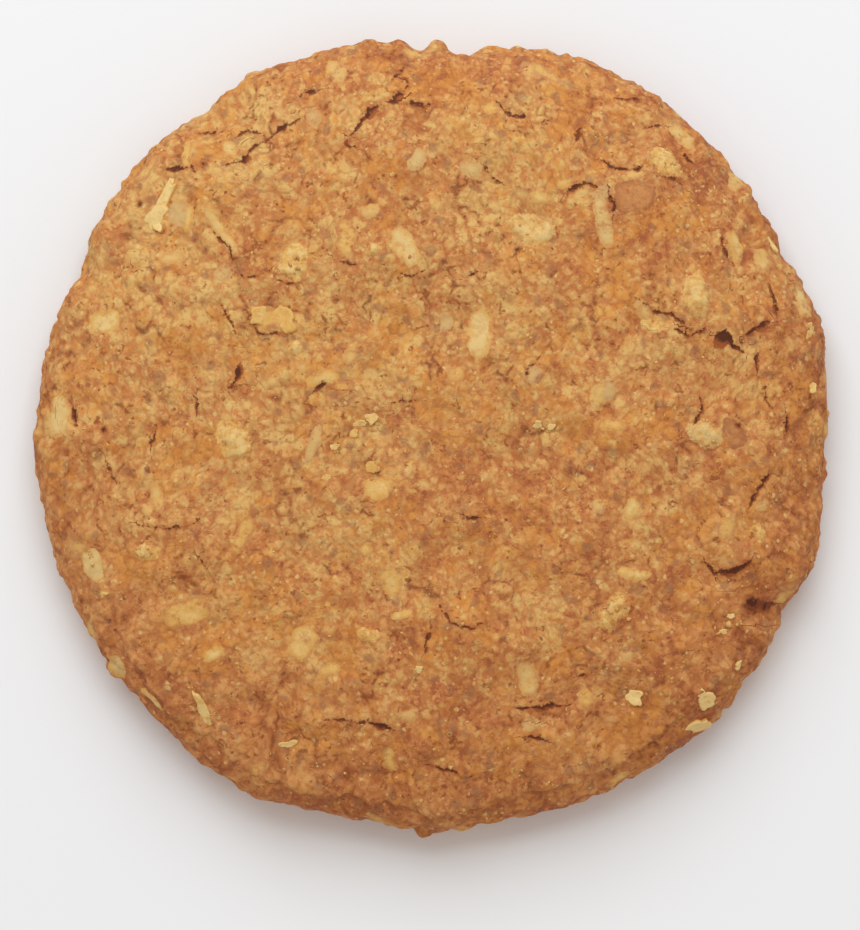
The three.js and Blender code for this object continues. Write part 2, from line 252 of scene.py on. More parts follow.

# %% [markdown]
# ## Cracks
#
# As the crown sets and the middle still rises, the crust tears. A tear is a short, ragged line that is
# dark because it is deep and narrow. Each one is a path read off the photograph and made ragged by
# noise. The mesh is too coarse to draw a line a fifth of a millimetre wide, so each corner keeps its
# distance across the nearest crack and that crack's half-width: the paint draws the edge between them
# and fills the crack with painted shade, with a painted shadow darkest under its upper lip.

# %% Paths of the cracks
CRACKS = [
    # width and depth in millimetres, then the path on the photograph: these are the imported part's
    (0.5, 1.2, (407, 62), (396, 78), (408, 87), (395, 103), (386, 104)),
    (0.9, 1.6, (377, 108), (364, 120), (357, 130), (348, 139)),
    (0.6, 1.3, (298, 119), (284, 128), (266, 142), (251, 150), (248, 161), (225, 166)),
    (0.5, 1.0, (237, 135), (249, 132), (262, 135)),
    (0.7, 1.5, (640, 301), (655, 313), (668, 313), (684, 323)),
    (1.3, 1.8, (712, 338), (726, 342), (740, 352)),
    (0.5, 1.1, (741, 337), (757, 330), (766, 322), (778, 320)),
    (1.5, 2.0, (738, 603), (756, 607), (774, 602)),
    (0.5, 1.0, (703, 560), (712, 572), (732, 571), (750, 560)),
    (0.5, 1.1, (511, 706), (540, 706), (566, 704)),
    (0.6, 1.2, (361, 720), (376, 724), (393, 728)),
    (0.6, 1.0, (601, 161), (613, 169), (641, 168)),
    (0.7, 1.2, (499, 105), (511, 117), (527, 121)),
    (1.0, 1.3, (523, 735), (541, 736)),
    (0.5, 1.0, (241, 364), (238, 376), (231, 388)),
    (0.5, 1.0, (140, 525), (165, 526), (187, 527), (199, 520)),
]
FINE_CRACKS = [
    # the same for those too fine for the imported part
    (0.3, 0.4, (200, 135), (222, 131)), (0.35, 0.5, (240, 276), (258, 279), (270, 273)),
    (0.3, 0.4, (395, 104), (420, 106), (445, 104)), (0.3, 0.4, (296, 100), (303, 92), (322, 90)),
    (0.35, 0.5, (617, 97), (642, 98)), (0.35, 0.4, (565, 192), (577, 188), (588, 185), (600, 190)),
    (0.5, 0.7, (610, 191), (612, 201), (612, 215)), (0.35, 0.4, (665, 178), (683, 187)),
    (0.3, 0.4, (722, 235), (725, 250), (730, 262)), (0.4, 0.5, (770, 283), (772, 300), (775, 315)),
    (0.35, 0.5, (672, 330), (690, 336), (702, 330)), (0.4, 0.5, (755, 356), (755, 371)),
    (0.35, 0.5, (762, 385), (764, 397), (771, 408)), (0.3, 0.4, (787, 417), (784, 433)),
    (0.35, 0.5, (768, 474), (755, 490), (748, 507)), (0.3, 0.4, (700, 400), (698, 415), (692, 425)),
    (0.35, 0.4, (664, 652), (684, 652)), (0.35, 0.4, (573, 676), (588, 675)),
    (0.3, 0.4, (330, 717), (346, 720)), (0.4, 0.5, (430, 763), (447, 767), (460, 773), (476, 772)),
    (0.25, 0.3, (440, 605), (452, 620), (470, 628), (483, 622)), (0.25, 0.3, (430, 627), (424, 652)),
    (0.3, 0.4, (224, 306), (232, 322), (240, 336)), (0.3, 0.4, (197, 395), (199, 415)),
    (0.25, 0.3, (160, 422), (155, 435), (153, 450)), (0.35, 0.4, (111, 462), (117, 482)),
    (0.3, 0.4, (203, 558), (210, 568)), (0.35, 0.4, (316, 390), (325, 386), (341, 391)),
    (0.4, 0.5, (465, 279), (477, 272)), (0.3, 0.4, (464, 517), (480, 517)),
    (0.35, 0.4, (484, 167), (490, 178), (500, 184)), (0.45, 0.6, (212, 229), (225, 245), (236, 261)),
    (0.3, 0.3, (648, 127), (661, 127)), (0.35, 0.4, (540, 123), (550, 122)),
    (0.3, 0.4, (74, 408), (79, 427)), (0.3, 0.4, (396, 402), (411, 400)),
    (0.5, 0.6, (525, 378), (527, 368), (536, 360)), (0.4, 0.5, (678, 153), (682, 158), (690, 162)),
    (0.35, 0.4, (335, 261), (350, 265), (362, 264)), (0.35, 0.4, (400, 273), (412, 276), (424, 274)),
    (0.3, 0.4, (280, 282), (288, 285), (300, 284)), (0.4, 0.5, (252, 321), (260, 333), (278, 334)),
    (0.3, 0.3, (355, 149), (346, 145), (349, 137)), (0.35, 0.4, (573, 145), (577, 137), (580, 128)),
    (0.4, 0.5, (160, 168), (176, 171), (190, 168)), (0.3, 0.3, (190, 163), (196, 172)),
]  # fmt: skip
PITS = np.array(
    [
        # place on the photograph and radius in millimetres of holes where a bubble broke
        (283, 88, 0.3), (203, 166, 0.35), (193, 200, 0.35), (140, 205, 0.45), (146, 397, 0.45),
        (105, 430, 0.3), (337, 300, 0.3), (396, 178, 0.3), (407, 200, 0.3), (417, 204, 0.3),
        (500, 241, 0.35), (518, 252, 0.35), (393, 553, 0.3), (779, 335, 0.35), (776, 350, 0.3),
        (771, 407, 0.3), (810, 397, 0.3), (762, 547, 0.4), (735, 426, 0.3), (558, 729, 0.35),
        (266, 142, 0.35), (348, 143, 0.4), (161, 421, 0.3), (234, 388, 0.35), (477, 158, 0.3),
        (752, 604, 0.85), (763, 606, 0.7), (515, 405, 0.3), (531, 345, 0.25), (579, 137, 0.25),
        (706, 188, 0.3), (610, 207, 0.4),
    ]
)  # fmt: skip
print(f"{len(CRACKS)} cracks, {len(FINE_CRACKS)} fine ones and {len(PITS)} holes")

# %% Distance across the nearest crack
CRACK_STEP = 0.2
CRACK_WANDER, BEND, KINK = 0.16, 0.6, 0.3
LEAST_GAPE, GAPE_SIZE = 0.25, 0.8
CRACK_SHALLOW = 0.45
FAR_FROM_CRACKS = 1.4
WALL, WALL_SLOPE = 0.22, 1.25
LIP_RISE, LIP_WIDTH = 0.22, 0.55


def ragged_path(path, seed):
    """The path cut into short steps, each moved by soft noise, and how wide it gapes at each step."""
    corners = from_ring(path)
    lengths = np.concatenate([[0], np.linalg.norm(np.diff(corners, axis=0), axis=1).cumsum()])
    along = np.linspace(0, lengths[-1], max(int(lengths[-1] / CRACK_STEP), 2) + 1)
    line = np.stack([np.interp(along, lengths, corners[:, axis]) for axis in range(2)], -1)
    probe = np.stack([along, along * 0, along * 0 + 3.7 * seed], -1)
    shift = np.stack([soft_noise(probe, BEND, 5), soft_noise(probe, BEND, 6)], -1)
    shift += 0.5 * np.stack([soft_noise(probe, KINK, 8), soft_noise(probe, KINK, 9)], -1)
    gape = LEAST_GAPE + smooth(soft_noise(probe, GAPE_SIZE, 7), -0.2, 0.9)
    return line + CRACK_WANDER * shift, gape


def across_path(flat, path):
    """Signed distance from each place to the nearest step of a path, and how far along it is, 0 to 1."""
    start, step = path[:-1], np.diff(path, axis=0)
    reach = flat[:, None] - start
    along = np.clip((reach * step).sum(-1) / (step**2).sum(-1), 0, 1)
    gap = reach - along[..., None] * step
    distance = np.linalg.norm(gap, axis=-1)
    nearest = distance.argmin(1)
    row = np.arange(len(flat))
    gap, step = gap[row, nearest], step[nearest]
    side = np.where(step[:, 0] * gap[:, 1] - step[:, 1] * gap[:, 0] < 0, -1, 1)
    return side * distance[row, nearest], (nearest + along[row, nearest]) / len(start)


def read_cracks(flat):
    """Distance to the nearest crack, above 0 on its upper lip, and its half-width, tear and lift.

    A tear falls away from the path in a straight line, and the lips bend up and down as they near it."""
    offset = np.full(len(flat), FAR_FROM_CRACKS)
    half = np.zeros(len(flat))
    torn = np.zeros(len(flat))
    lifted = np.zeros(len(flat))
    for number, (width, depth, *path) in enumerate(CRACKS + FINE_CRACKS):
        line, gape = ragged_path(path, number)
        low, high = line.min(0) - FAR_FROM_CRACKS, line.max(0) + FAR_FROM_CRACKS
        near = np.nonzero(((flat > low) & (flat < high)).all(1))[0]
        distance, along = across_path(flat[near], line)
        distance *= 1 if line[-1, 0] > line[0, 0] else -1
        ends = np.sqrt(np.clip(np.sin(math.pi * along), 0.02, 1))
        taper = ends * np.interp(along, np.linspace(0, 1, len(gape)), gape)
        reach = width / 2 * taper
        wall = np.maximum(reach, WALL)
        tear = CRACK_SHALLOW * depth * taper * np.clip(WALL_SLOPE - np.abs(distance) / wall, 0, 1)
        torn[near] = np.maximum(torn[near], tear)
        bend = np.sign(distance) * np.exp(-np.abs(distance) / LIP_WIDTH)
        lifted[near] += LIP_RISE * width * ends**2 * bend
        closer = np.abs(distance) - reach < np.abs(offset[near]) - half[near]
        offset[near[closer]], half[near[closer]] = distance[closer], reach[closer]
    return offset, half, torn, lifted


def read_pits(flat):
    """Distance outside the nearest hole: from its middle, less its radius."""
    gap = np.linalg.norm(flat[:, None] - from_ring(PITS[:, :2]), axis=-1) - PITS[:, 2]
    return gap.min(1)


print(f"each crack is felt up to {FAR_FROM_CRACKS} mm away")


# %% [markdown]
# ## Where the oats and coconut lie
#
# Rolled oats are flat, oblong plates a few millimetres long, and coconut is in narrow shreds. Each one
# that shows is a row of numbers read off the photograph. They come before the crumb's relief, because
# crumb doesn't rise through an oat: the crust is pressed flat wherever a flake covers it. How ragged a
# flake is also sorts them: below a half it lies flush, from there on it is loose, and 1 is a cluster.

# %% Rows of flakes and shreds
CROWN_FLAKES = np.array(
    [
        # the large ones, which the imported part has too, with their edges read more closely here:
        # place, length, width, turn in degrees, how proud in millimetres, how pale, how grey, how ragged
        (163, 198, 3.6, 0.9, 63, 0.45, 0.95, 0.0, 0.55), (177, 213, 2.3, 2.0, 80, 0.12, 0.6, 0.8, 0.2),
        (188, 218, 2.6, 0.9, 84, 0.3, 0.65, 0.0, 0.4), (190, 156, 2.8, 0.9, -78, 0.3, 0.7, 0.0, 0.3),
        (223, 234, 5.0, 0.9, -56, 0.32, 0.6, 0.3, 0.2), (293, 265, 3.0, 2.4, 60, 0.3, 0.75, 0.0, 1.0),
        (275, 320, 3.9, 1.7, -14, 0.35, 0.3, 0.0, 0.4), (103, 322, 3.2, 1.9, 22, 0.25, 0.8, 0.0, 0.4),
        (60, 417, 3.6, 2.2, 86, 0.2, 0.9, 0.15, 0.2), (347, 241, 3.0, 1.9, 86, 0.2, 0.45, 0.0, 0.3),
        (406, 248, 3.4, 1.9, -72, 0.22, 0.85, 0.2, 0.1), (530, 230, 4.4, 2.5, -12, 0.25, 0.72, 0.2, 1.0),
        (470, 170, 2.0, 1.4, -20, 0.15, 0.6, 0.5, 0.4), (680, 139, 2.8, 1.5, -50, 0.25, 0.7, 0.3, 0.3),
        (664, 165, 3.2, 1.8, -48, 0.25, 0.8, 0.0, 1.0), (632, 199, 3.2, 2.8, 10, 0.25, -0.1, 0.0, 0.1),
        (602, 222, 4.4, 1.3, -78, 0.25, 0.7, 0.4, 0.4), (734, 247, 3.0, 1.4, -78, 0.2, 0.7, 0.1, 0.3),
        (694, 296, 4.0, 2.1, -80, 0.3, 0.6, 0.1, 1.0), (236, 442, 3.4, 2.4, -60, 0.25, 0.75, 0.0, 1.0),
        (159, 498, 2.9, 1.1, -72, 0.25, 0.65, 0.15, 0.2), (243, 537, 3.4, 1.3, 63, 0.2, 0.45, 0.0, 0.3),
        (92, 564, 2.5, 1.9, -70, 0.2, 1.1, 0.15, 0.3), (478, 335, 4.3, 1.9, 88, 0.2, 0.95, 0.1, 0.1),
        (378, 487, 2.8, 1.7, -6, 0.2, 0.7, 0.0, 0.3), (314, 444, 3.5, 0.9, 70, 0.15, 0.6, 0.5, 0.1),
        (391, 582, 2.4, 1.8, -70, 0.2, 0.75, 0.0, 0.4), (597, 396, 2.5, 1.4, 75, 0.2, 0.65, 0.2, 0.4),
        (704, 434, 2.9, 2.1, -40, 0.25, 0.85, 0.3, 1.0), (733, 434, 2.6, 1.9, -70, 0.25, -0.25, 0.0, 0.2),
        (611, 424, 2.3, 1.2, -5, 0.25, 0.55, 0.0, 0.4), (726, 527, 2.1, 1.6, 80, 0.2, 0.55, 0.1, 0.4),
        (633, 573, 2.9, 0.9, -8, 0.3, 0.8, 0.0, 0.4), (188, 612, 4.0, 2.3, 20, 0.2, 0.45, 0.0, 0.4),
        (215, 654, 2.2, 1.2, 14, 0.2, 0.7, 0.0, 0.4), (118, 666, 2.3, 1.8, 60, 0.3, 0.9, 0.1, 0.3),
        (205, 714, 4.3, 0.9, -68, 0.45, 0.85, 0.0, 0.6), (304, 642, 3.2, 2.4, 50, 0.2, 0.65, 0.0, 0.4),
        (368, 635, 2.3, 1.5, -20, 0.2, 0.65, 0.0, 1.0), (527, 678, 3.0, 1.8, -75, 0.2, 0.6, 0.3, 0.3),
        (613, 610, 3.4, 2.2, 60, 0.35, 0.55, 0.0, 1.0), (692, 726, 3.0, 1.5, 26, 0.4, 1.0, 0.0, 0.6),
        (703, 698, 2.2, 1.7, -50, 0.5, 1.0, 0.0, 0.6), (616, 776, 2.2, 1.7, 20, 0.2, 0.65, 0.0, 0.4),
        (323, 380, 2.9, 1.5, 10, 0.2, 0.65, 0.0, 0.3), (390, 760, 2.5, 1.2, -75, 0.2, 0.6, 0.0, 0.4),
    ]
)  # fmt: skip
SMALL_FLAKES = np.array(
    [
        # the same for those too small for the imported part
        (262, 317, 2.0, 1.5, 16, 0.45, 0.65, 0.0, 0.6), (285, 320, 2.4, 1.8, -58, 0.4, 0.55, 0.0, 0.6),
        (157, 697, 3.0, 0.7, -38, 0.6, 0.95, 0.0, 0.4), (171, 185, 1.2, 0.5, 70, 0.4, 1.0, 0.0, 0.5),
        (152, 215, 2.7, 1.5, 52, 0.45, 0.95, 0.0, 0.55), (154, 221, 1.4, 0.9, 75, 0.28, 0.95, 0.0, 0.5),
        (600, 196, 1.8, 1.5, 60, 0.15, 0.55, 0.7, 0.3),
        (231, 150, 1.3, 1.1, 0, 0.2, 0.8, 0.2, 0.3), (313, 118, 1.8, 1.3, -45, 0.2, 0.45, 0.5, 0.3),
        (527, 72, 1.8, 1.6, 0, 0.15, 0.35, 0.2, 0.3), (490, 113, 1.5, 1.2, 40, 0.2, 0.65, 0.0, 0.4),
        (418, 162, 1.7, 1.2, 60, 0.15, 0.7, 0.6, 0.4), (370, 213, 1.6, 1.2, 20, 0.15, 0.65, 0.3, 0.4),
        (372, 252, 1.3, 0.9, 40, 0.25, 0.75, 0.0, 1.0), (446, 326, 1.4, 1.0, 70, 0.12, 0.75, 0.6, 0.3),
        (455, 375, 1.5, 1.5, 0, 0.2, 0.6, 0.1, 0.2), (370, 468, 1.4, 1.1, 0, 0.22, 0.5, 0.0, 0.8),
        (372, 418, 1.2, 1.0, 30, 0.22, 0.8, 0.0, 0.6), (360, 424, 1.4, 0.5, 5, 0.3, 0.85, 0.0, 0.5),
        (354, 434, 0.9, 0.7, 0, 0.2, 0.6, 0.0, 0.5), (366, 549, 1.2, 0.9, 60, 0.25, 0.65, 0.0, 0.4),
        (401, 614, 1.9, 0.8, 10, 0.25, 0.75, 0.0, 0.4), (532, 375, 1.5, 1.1, 60, 0.12, 0.6, 0.6, 0.2),
        (606, 390, 1.6, 1.1, 80, 0.15, 0.6, 0.7, 0.3), (629, 509, 1.8, 1.1, 75, 0.2, 0.75, 0.1, 0.4),
        (537, 425, 0.8, 0.7, 0, 0.3, 1.0, 0.2, 0.6), (550, 427, 0.7, 0.6, 0, 0.3, 1.0, 0.2, 0.6),
        (328, 478, 0.8, 0.6, 0, 0.2, 0.8, 0.0, 0.6), (335, 447, 0.8, 0.6, 0, 0.2, 0.8, 0.0, 0.6),
        (419, 668, 0.7, 0.6, 0, 0.3, 1.0, 0.0, 0.6), (597, 506, 1.4, 1.1, 30, 0.15, 0.65, 0.4, 0.4),
        (758, 531, 1.7, 1.0, -40, 0.25, 0.75, 0.0, 1.0), (760, 506, 1.3, 0.8, 10, 0.2, 0.65, 0.4, 0.4),
        (150, 549, 2.0, 1.6, 15, 0.25, 0.7, 0.0, 1.0), (101, 593, 1.5, 0.5, 5, 0.3, 0.75, 0.0, 0.5),
        (288, 745, 1.6, 0.6, 12, 0.3, 0.9, 0.0, 0.5), (328, 670, 1.9, 1.1, 10, 0.2, 0.65, 0.0, 0.4),
        (532, 722, 1.3, 1.1, 0, 0.25, 0.55, 0.5, 0.3), (634, 698, 1.7, 1.2, -20, 0.35, 1.0, 0.0, 0.7),
        (585, 700, 1.8, 1.6, 40, 0.2, 0.55, 0.0, 0.4), (736, 662, 1.1, 0.7, 60, 0.35, 1.0, 0.0, 0.5),
        (806, 332, 1.6, 0.8, 80, 0.25, 0.75, 0.0, 0.6), (810, 387, 1.2, 0.7, 80, 0.25, 0.75, 0.0, 0.6),
        (732, 617, 0.7, 0.5, 0, 0.3, 1.0, 0.1, 0.5), (724, 632, 0.7, 0.5, 0, 0.3, 1.0, 0.1, 0.5),
        (327, 804, 0.7, 0.6, 0, 0.3, 0.9, 0.0, 0.5), (98, 482, 2.0, 0.9, 80, 0.2, 0.55, 0.1, 0.3),
        (767, 243, 2.1, 0.6, -48, 0.35, 0.9, 0.0, 0.5), (715, 240, 1.6, 1.1, 80, 0.2, 0.6, 0.2, 0.3),
        (296, 348, 1.4, 1.1, 80, 0.2, 0.8, 0.0, 1.0), (217, 172, 2.0, 1.4, -20, 0.15, 0.6, 0.2, 0.4),
        (225, 275, 1.8, 1.4, 40, 0.15, 0.6, 0.5, 0.4), (172, 258, 1.8, 1.0, 10, 0.15, 0.6, 0.3, 0.4),
        (233, 328, 1.9, 0.4, -60, 0.3, 0.85, 0.0, 0.3), (640, 310, 1.6, 1.1, -40, 0.2, 0.7, 0.3, 0.4),
        (650, 327, 1.5, 1.0, -20, 0.2, 0.75, 0.0, 1.0), (540, 199, 2.2, 1.0, -8, 0.2, 0.6, 0.0, 0.4),
        (563, 186, 1.1, 0.8, 30, 0.2, 0.75, 0.0, 0.4), (636, 176, 1.6, 0.7, 5, 0.25, 0.7, 0.2, 0.4),
        (352, 358, 1.4, 1.2, 60, 0.15, 0.6, 0.2, 0.3), (340, 388, 2.4, 1.2, 14, 0.18, 0.3, 0.0, 0.4),
    ]
)  # fmt: skip
SIDE_FLAKE_COUNT = 30
SIDE_FLAKE_LOW, SIDE_FLAKE_HIGH = 1.6, 6.4
SIDE_FLAKE_LENGTH, SIDE_FLAKE_WIDTH = (1.8, 1.8), (1.1, 0.9)
SIDE_FLAKE_PROUD, SIDE_FLAKE_RAGGED = 0.14, 0.4
GOLDEN_ANGLE = math.radians(137.508)


def side_flakes():
    """Flakes along the side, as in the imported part: a golden angle apart, at drawn heights and sizes."""
    draw = seeded(47)
    rows = []
    for number in range(SIDE_FLAKE_COUNT):
        height = SIDE_FLAKE_LOW + (SIDE_FLAKE_HIGH - SIDE_FLAKE_LOW) * next(draw)
        length, width = (least + more * next(draw) for least, more in (SIDE_FLAKE_LENGTH, SIDE_FLAKE_WIDTH))
        luck, turn = next(draw), 3 * next(draw)
        share = 1 - (1 - SHOULDER_SHARE) * height / SHOULDER_HEIGHT
        finish = (SIDE_FLAKE_PROUD, 0.2 + 0.5 * luck, 0.3 * luck, SIDE_FLAKE_RAGGED)
        rows.append((share, GOLDEN_ANGLE * number, length, width, turn, *finish))
    return np.array(rows)


crown_rows = np.concatenate([CROWN_FLAKES, SMALL_FLAKES])
crown_rows[:, :2] = np.stack(crown_share(from_ring(crown_rows[:, :2])), -1)
crown_rows[:, 4] = np.radians(crown_rows[:, 4])
flake_rows = np.concatenate([crown_rows, side_flakes()])
print(f"{len(crown_rows)} flakes and shreds on the crown, {SIDE_FLAKE_COUNT} on the side")

# %% Seats on the crust
SEAT_STEP = 0.012


def seats(share, bearing):
    """Places on the smooth crust and their outward directions, from differences along and round it."""
    along = crust(share + SEAT_STEP, bearing)[0] - crust(share - SEAT_STEP, bearing)[0]
    swing = SEAT_STEP / np.maximum(share, 0.05)
    about = crust(share, bearing + swing)[0] - crust(share, bearing - swing)[0]
    upright = np.cross(along, about)
    return crust(share, bearing)[0], upright / np.linalg.norm(upright, axis=-1, keepdims=True)


def tipped(vectors, upright):
    """Vectors turned by the shortest way that takes +Z to an upright: v + k x v + k x (k x v) / (1 + up)."""
    hinge = np.stack([-upright[..., 1], upright[..., 0], np.zeros_like(upright[..., 0])], -1)
    once = np.cross(hinge, vectors)
    return vectors + once + np.cross(hinge, once) / (1 + upright[..., 2:])


flake_seat, flake_up = seats(flake_rows[:, 0], flake_rows[:, 1])
flake_turn = flake_rows[:, 4]
lengthwise = tipped(np.stack([np.cos(flake_turn), np.sin(flake_turn), 0 * flake_turn], -1), flake_up)
crosswise = np.cross(flake_up, lengthwise)
print(f"seats from {flake_seat[:, 2].min():.1f} to {flake_seat[:, 2].max():.1f} mm high")

# %% How a place lies to the nearest flake
FLAKE_SQUARE = 2.5
FAR_FROM_FLAKES = 1.0
AWAY_FROM_LIGHT = np.array([0.1, -0.85, -0.5])
LEAST_REACH = 0.3


def read_flakes(points):
    """Distance outside the nearest flake's superellipse, its row, and how far round to its shaded edge."""
    outside = np.full(len(points), FAR_FROM_FLAKES)
    row_of = np.zeros(len(points), int)
    below = np.zeros(len(points))
    for number, (length, width) in enumerate(flake_rows[:, 2:4]):
        near = np.nonzero((np.abs(points - flake_seat[number]) < length / 2 + FAR_FROM_FLAKES).all(1))[0]
        apart = points[near] - flake_seat[number]
        along, over = apart @ lengthwise[number], apart @ crosswise[number]
        ring = np.abs(2 * along / length) ** FLAKE_SQUARE + np.abs(2 * over / width) ** FLAKE_SQUARE
        distance = np.hypot(along, over) * (1 - 1 / np.maximum(ring ** (1 / FLAKE_SQUARE), 0.05))
        closer = distance < outside[near]
        picked = near[closer]
        outside[picked], row_of[picked] = distance[closer], number
        reach = np.maximum(np.linalg.norm(apart[closer], axis=1), LEAST_REACH)
        below[picked] = apart[closer] @ AWAY_FROM_LIGHT / reach
    return outside, row_of, below


print("flakes are oblongs of power", FLAKE_SQUARE)

# %% [markdown]
# ## The crumb's relief
#
# Close up, the crust is a paving of small lumps: flour and syrup set round each oat, with grit of
# sugar between, splits under the lumps and a pit where a bubble broke. Displacing in the shader would
# be lost on export, so the relief is worked out for every corner of a fine mesh. Each ring has six more
# corners than the last, because then all the triangles are alike and none is drawn out thin.

# %% Lay out the rings
RINGS = 172


def ringed_disc(rings):
    """Share and bearing of a disc's corners: one in the middle, then rings of 6, 12, 18 and so on."""
    ring = np.concatenate([[0], np.repeat(np.arange(1, rings + 1), 6 * np.arange(1, rings + 1))])
    place = np.arange(len(ring)) - 1 - 3 * ring * (ring - 1)
    return ring / rings, 2 * math.pi * place / np.maximum(6 * ring, 1) * (ring > 0)


share, bearing = ringed_disc(RINGS)
smooth_points, out = crust(share, bearing)
flat = smooth_points[:, :2]
print(f"{len(flat)} corners, about {DIAMETER / 2 / RINGS:.2f} mm apart")

# %% Raise the crumb
LUMP_SIZE, LUMP_RISE = 2.2, 0.26
STONE_SIZE, STONE_RISE = 0.95, 0.15
STONE_LEVEL = 0.55
GRIT_SIZES, GRIT_RISE = (0.42, 2.6 * 0.42), 0.01
WARP_SIZE, WARP = 0.8, 0.35
RIM_ROUGH = 1.1


def warped(points, size, reach, seed):
    """Points moved by soft noise along each axis, so that what is drawn from them has uneven edges."""
    return points + reach * np.stack([soft_noise(points, size, seed + axis) for axis in range(3)], -1)


def two_noises(sizes, seed, second=1.0):
    """Soft noise over the crust at two sizes, the second one times a strength."""
    return soft_noise(smooth_points, sizes[0], seed) + second * soft_noise(smooth_points, sizes[1], seed + 1)


uneven = warped(smooth_points, WARP_SIZE, WARP, 30)
rough = 1 + RIM_ROUGH * smooth(share, 0.62, 0.9)
patch = smooth(soft_noise(smooth_points, 4.5, 60), -0.4, 0.6)
lump_near, lump_next, lump_luck = pebbles(uneven, LUMP_SIZE, 40)
stone_near, stone_next, stone_luck = pebbles(uneven, STONE_SIZE, 50)
lump = LUMP_RISE * (STONE_LEVEL - lump_near)
stone = STONE_RISE * (0.4 + 0.6 * patch) * (STONE_LEVEL - stone_near)
grit = GRIT_RISE * two_noises(GRIT_SIZES, 70)
print(f"lumps up to {lump.max():.2f} mm, stones up to {stone.max():.2f} mm")

# %% Split it between the lumps
SPLIT_WIDTH, SPLIT_DEPTH = 0.08, 0.12
STONE_SPLIT = 0.6

split_here = smooth(two_noises((2.6, 1.1), 203, 0.7), 0.1, 0.9)
lump_split = LUMP_SIZE / 2 * (lump_next - lump_near) - SPLIT_WIDTH * split_here
stone_here = smooth(two_noises((1.9, 0.8), 205, 0.7), 0.35, 1.1)
stone_split = STONE_SIZE / 2 * (stone_next - stone_near) - STONE_SPLIT * SPLIT_WIDTH * stone_here
split = np.minimum(lump_split, stone_split)
splitting = SPLIT_DEPTH * (1 - smooth(split, -0.06, 0.12)) * np.maximum(split_here, stone_here)
print(f"{np.mean(split < 0):.1%} of the crust is split")

# %% Add lumps of crumb, and crumbs at the rim
CRUMB_LUMPS, LUMP_REACH, LUMP_LEAST, LUMP_SPREAD, LUMP_SUNK = 44, 0.93, 0.8, 0.8, 0.1
LUMP_LONG, LUMP_WIDE, LUMP_TALL = 1.25, 0.9, 0.8
# bearing in degrees, size and how far sunk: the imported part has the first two, faceted and so larger
RIM_CRUMBS = ((268.5, 1.5, 0.1), (89.5, 1.6, 0.1), (216.3, 2.2, 0.45))


def crumb_lumps(flat, points):
    """Lumps a golden angle apart: half an ellipsoid each, broken up by noise."""
    draw = seeded(31)
    rise = np.zeros(len(flat))
    for number in range(CRUMB_LUMPS):
        half = (LUMP_LEAST + LUMP_SPREAD * next(draw)) / 2
        turn = 6 * next(draw)
        reach = SHOULDER_SHARE * LUMP_REACH * math.sqrt((number + 0.5) / CRUMB_LUMPS)
        middle = crust(reach, GOLDEN_ANGLE * number)[0][:2]
        near = np.nonzero((np.abs(flat - middle) < 1.5 * half).all(1))[0]
        along = (flat[near] - middle) @ (math.cos(turn), math.sin(turn)) / (LUMP_LONG * half)
        over = (flat[near] - middle) @ (-math.sin(turn), math.cos(turn)) / (LUMP_WIDE * half)
        gap = along**2 + over**2 + 0.5 * soft_noise(points[near], 0.7, 95)
        dome = LUMP_TALL * half * np.sqrt(np.clip(1 - gap, 0, 1)) - LUMP_SUNK
        rise[near] = np.maximum(rise[near], 0.5 * np.clip(dome, 0, None))
    return rise


def rim_crumbs(points):
    """Round crumbs at the girth: each rises to the sphere's half-chord, less how far it is sunk."""
    girth_share = 1 - (1 - SHOULDER_SHARE) * GIRTH_HEIGHT / SHOULDER_HEIGHT
    rise = np.zeros(len(points))
    for degrees, size, sunk in RIM_CRUMBS:
        here, upright = seats(np.array([girth_share]), np.radians([degrees]))
        apart = points - here
        depth = apart @ upright[0]
        aside = (apart**2).sum(-1) - depth**2
        dome = np.sqrt(np.clip(size**2 / 4 - aside, 0, None)) - sunk - depth
        rise = np.maximum(rise, np.where((aside < size**2 / 4) & (np.abs(depth) < size), dome, 0))
    return rise


lumps_rise = crumb_lumps(flat, smooth_points)
print(f"{CRUMB_LUMPS} lumps up to {lumps_rise.max():.2f} mm, {len(RIM_CRUMBS)} crumbs at the rim")

# %% Bare the side below the crust's lip
BARE_BEARING = math.radians(262)
BARE_SMOOTH = 0.7
LIP_SHARE, LIP_THICK, LIP_PROUD = 0.85, 0.012, 0.42

facing = smooth(np.cos(bearing - BARE_BEARING), 0.35, 0.75)
lip_share = share + 0.007 * soft_noise(smooth_points, 1.2, 110) + 0.004 * soft_noise(smooth_points, 0.5, 111)
bare = facing * smooth(lip_share, LIP_SHARE + LIP_THICK / 2, LIP_SHARE + LIP_THICK)
lip = facing * LIP_PROUD * smooth(lip_share, LIP_SHARE - 4 * LIP_THICK, LIP_SHARE) * (1 - bare)
relief = rough * (lump + stone + grit) * (1 - BARE_SMOOTH * bare) + lip + lumps_rise
print(f"relief {relief.min():.2f} to {relief.max():.2f} mm")

# %% Set the flakes in
FLUSH_PROUD, FLAKE_TILT = 0.25, 0.6
LOOSE_RAGGED, MOUND_RAGGED = 0.5, 0.95
MOUND_RISE, MOUND_GRAIN = 0.38, 0.14
WAVER, FINE_WAVER, MOUND_WAVER = 0.22, 0.16, 0.15
NOOK_OUT, NOOK_WIDTH = 0.16, 0.22

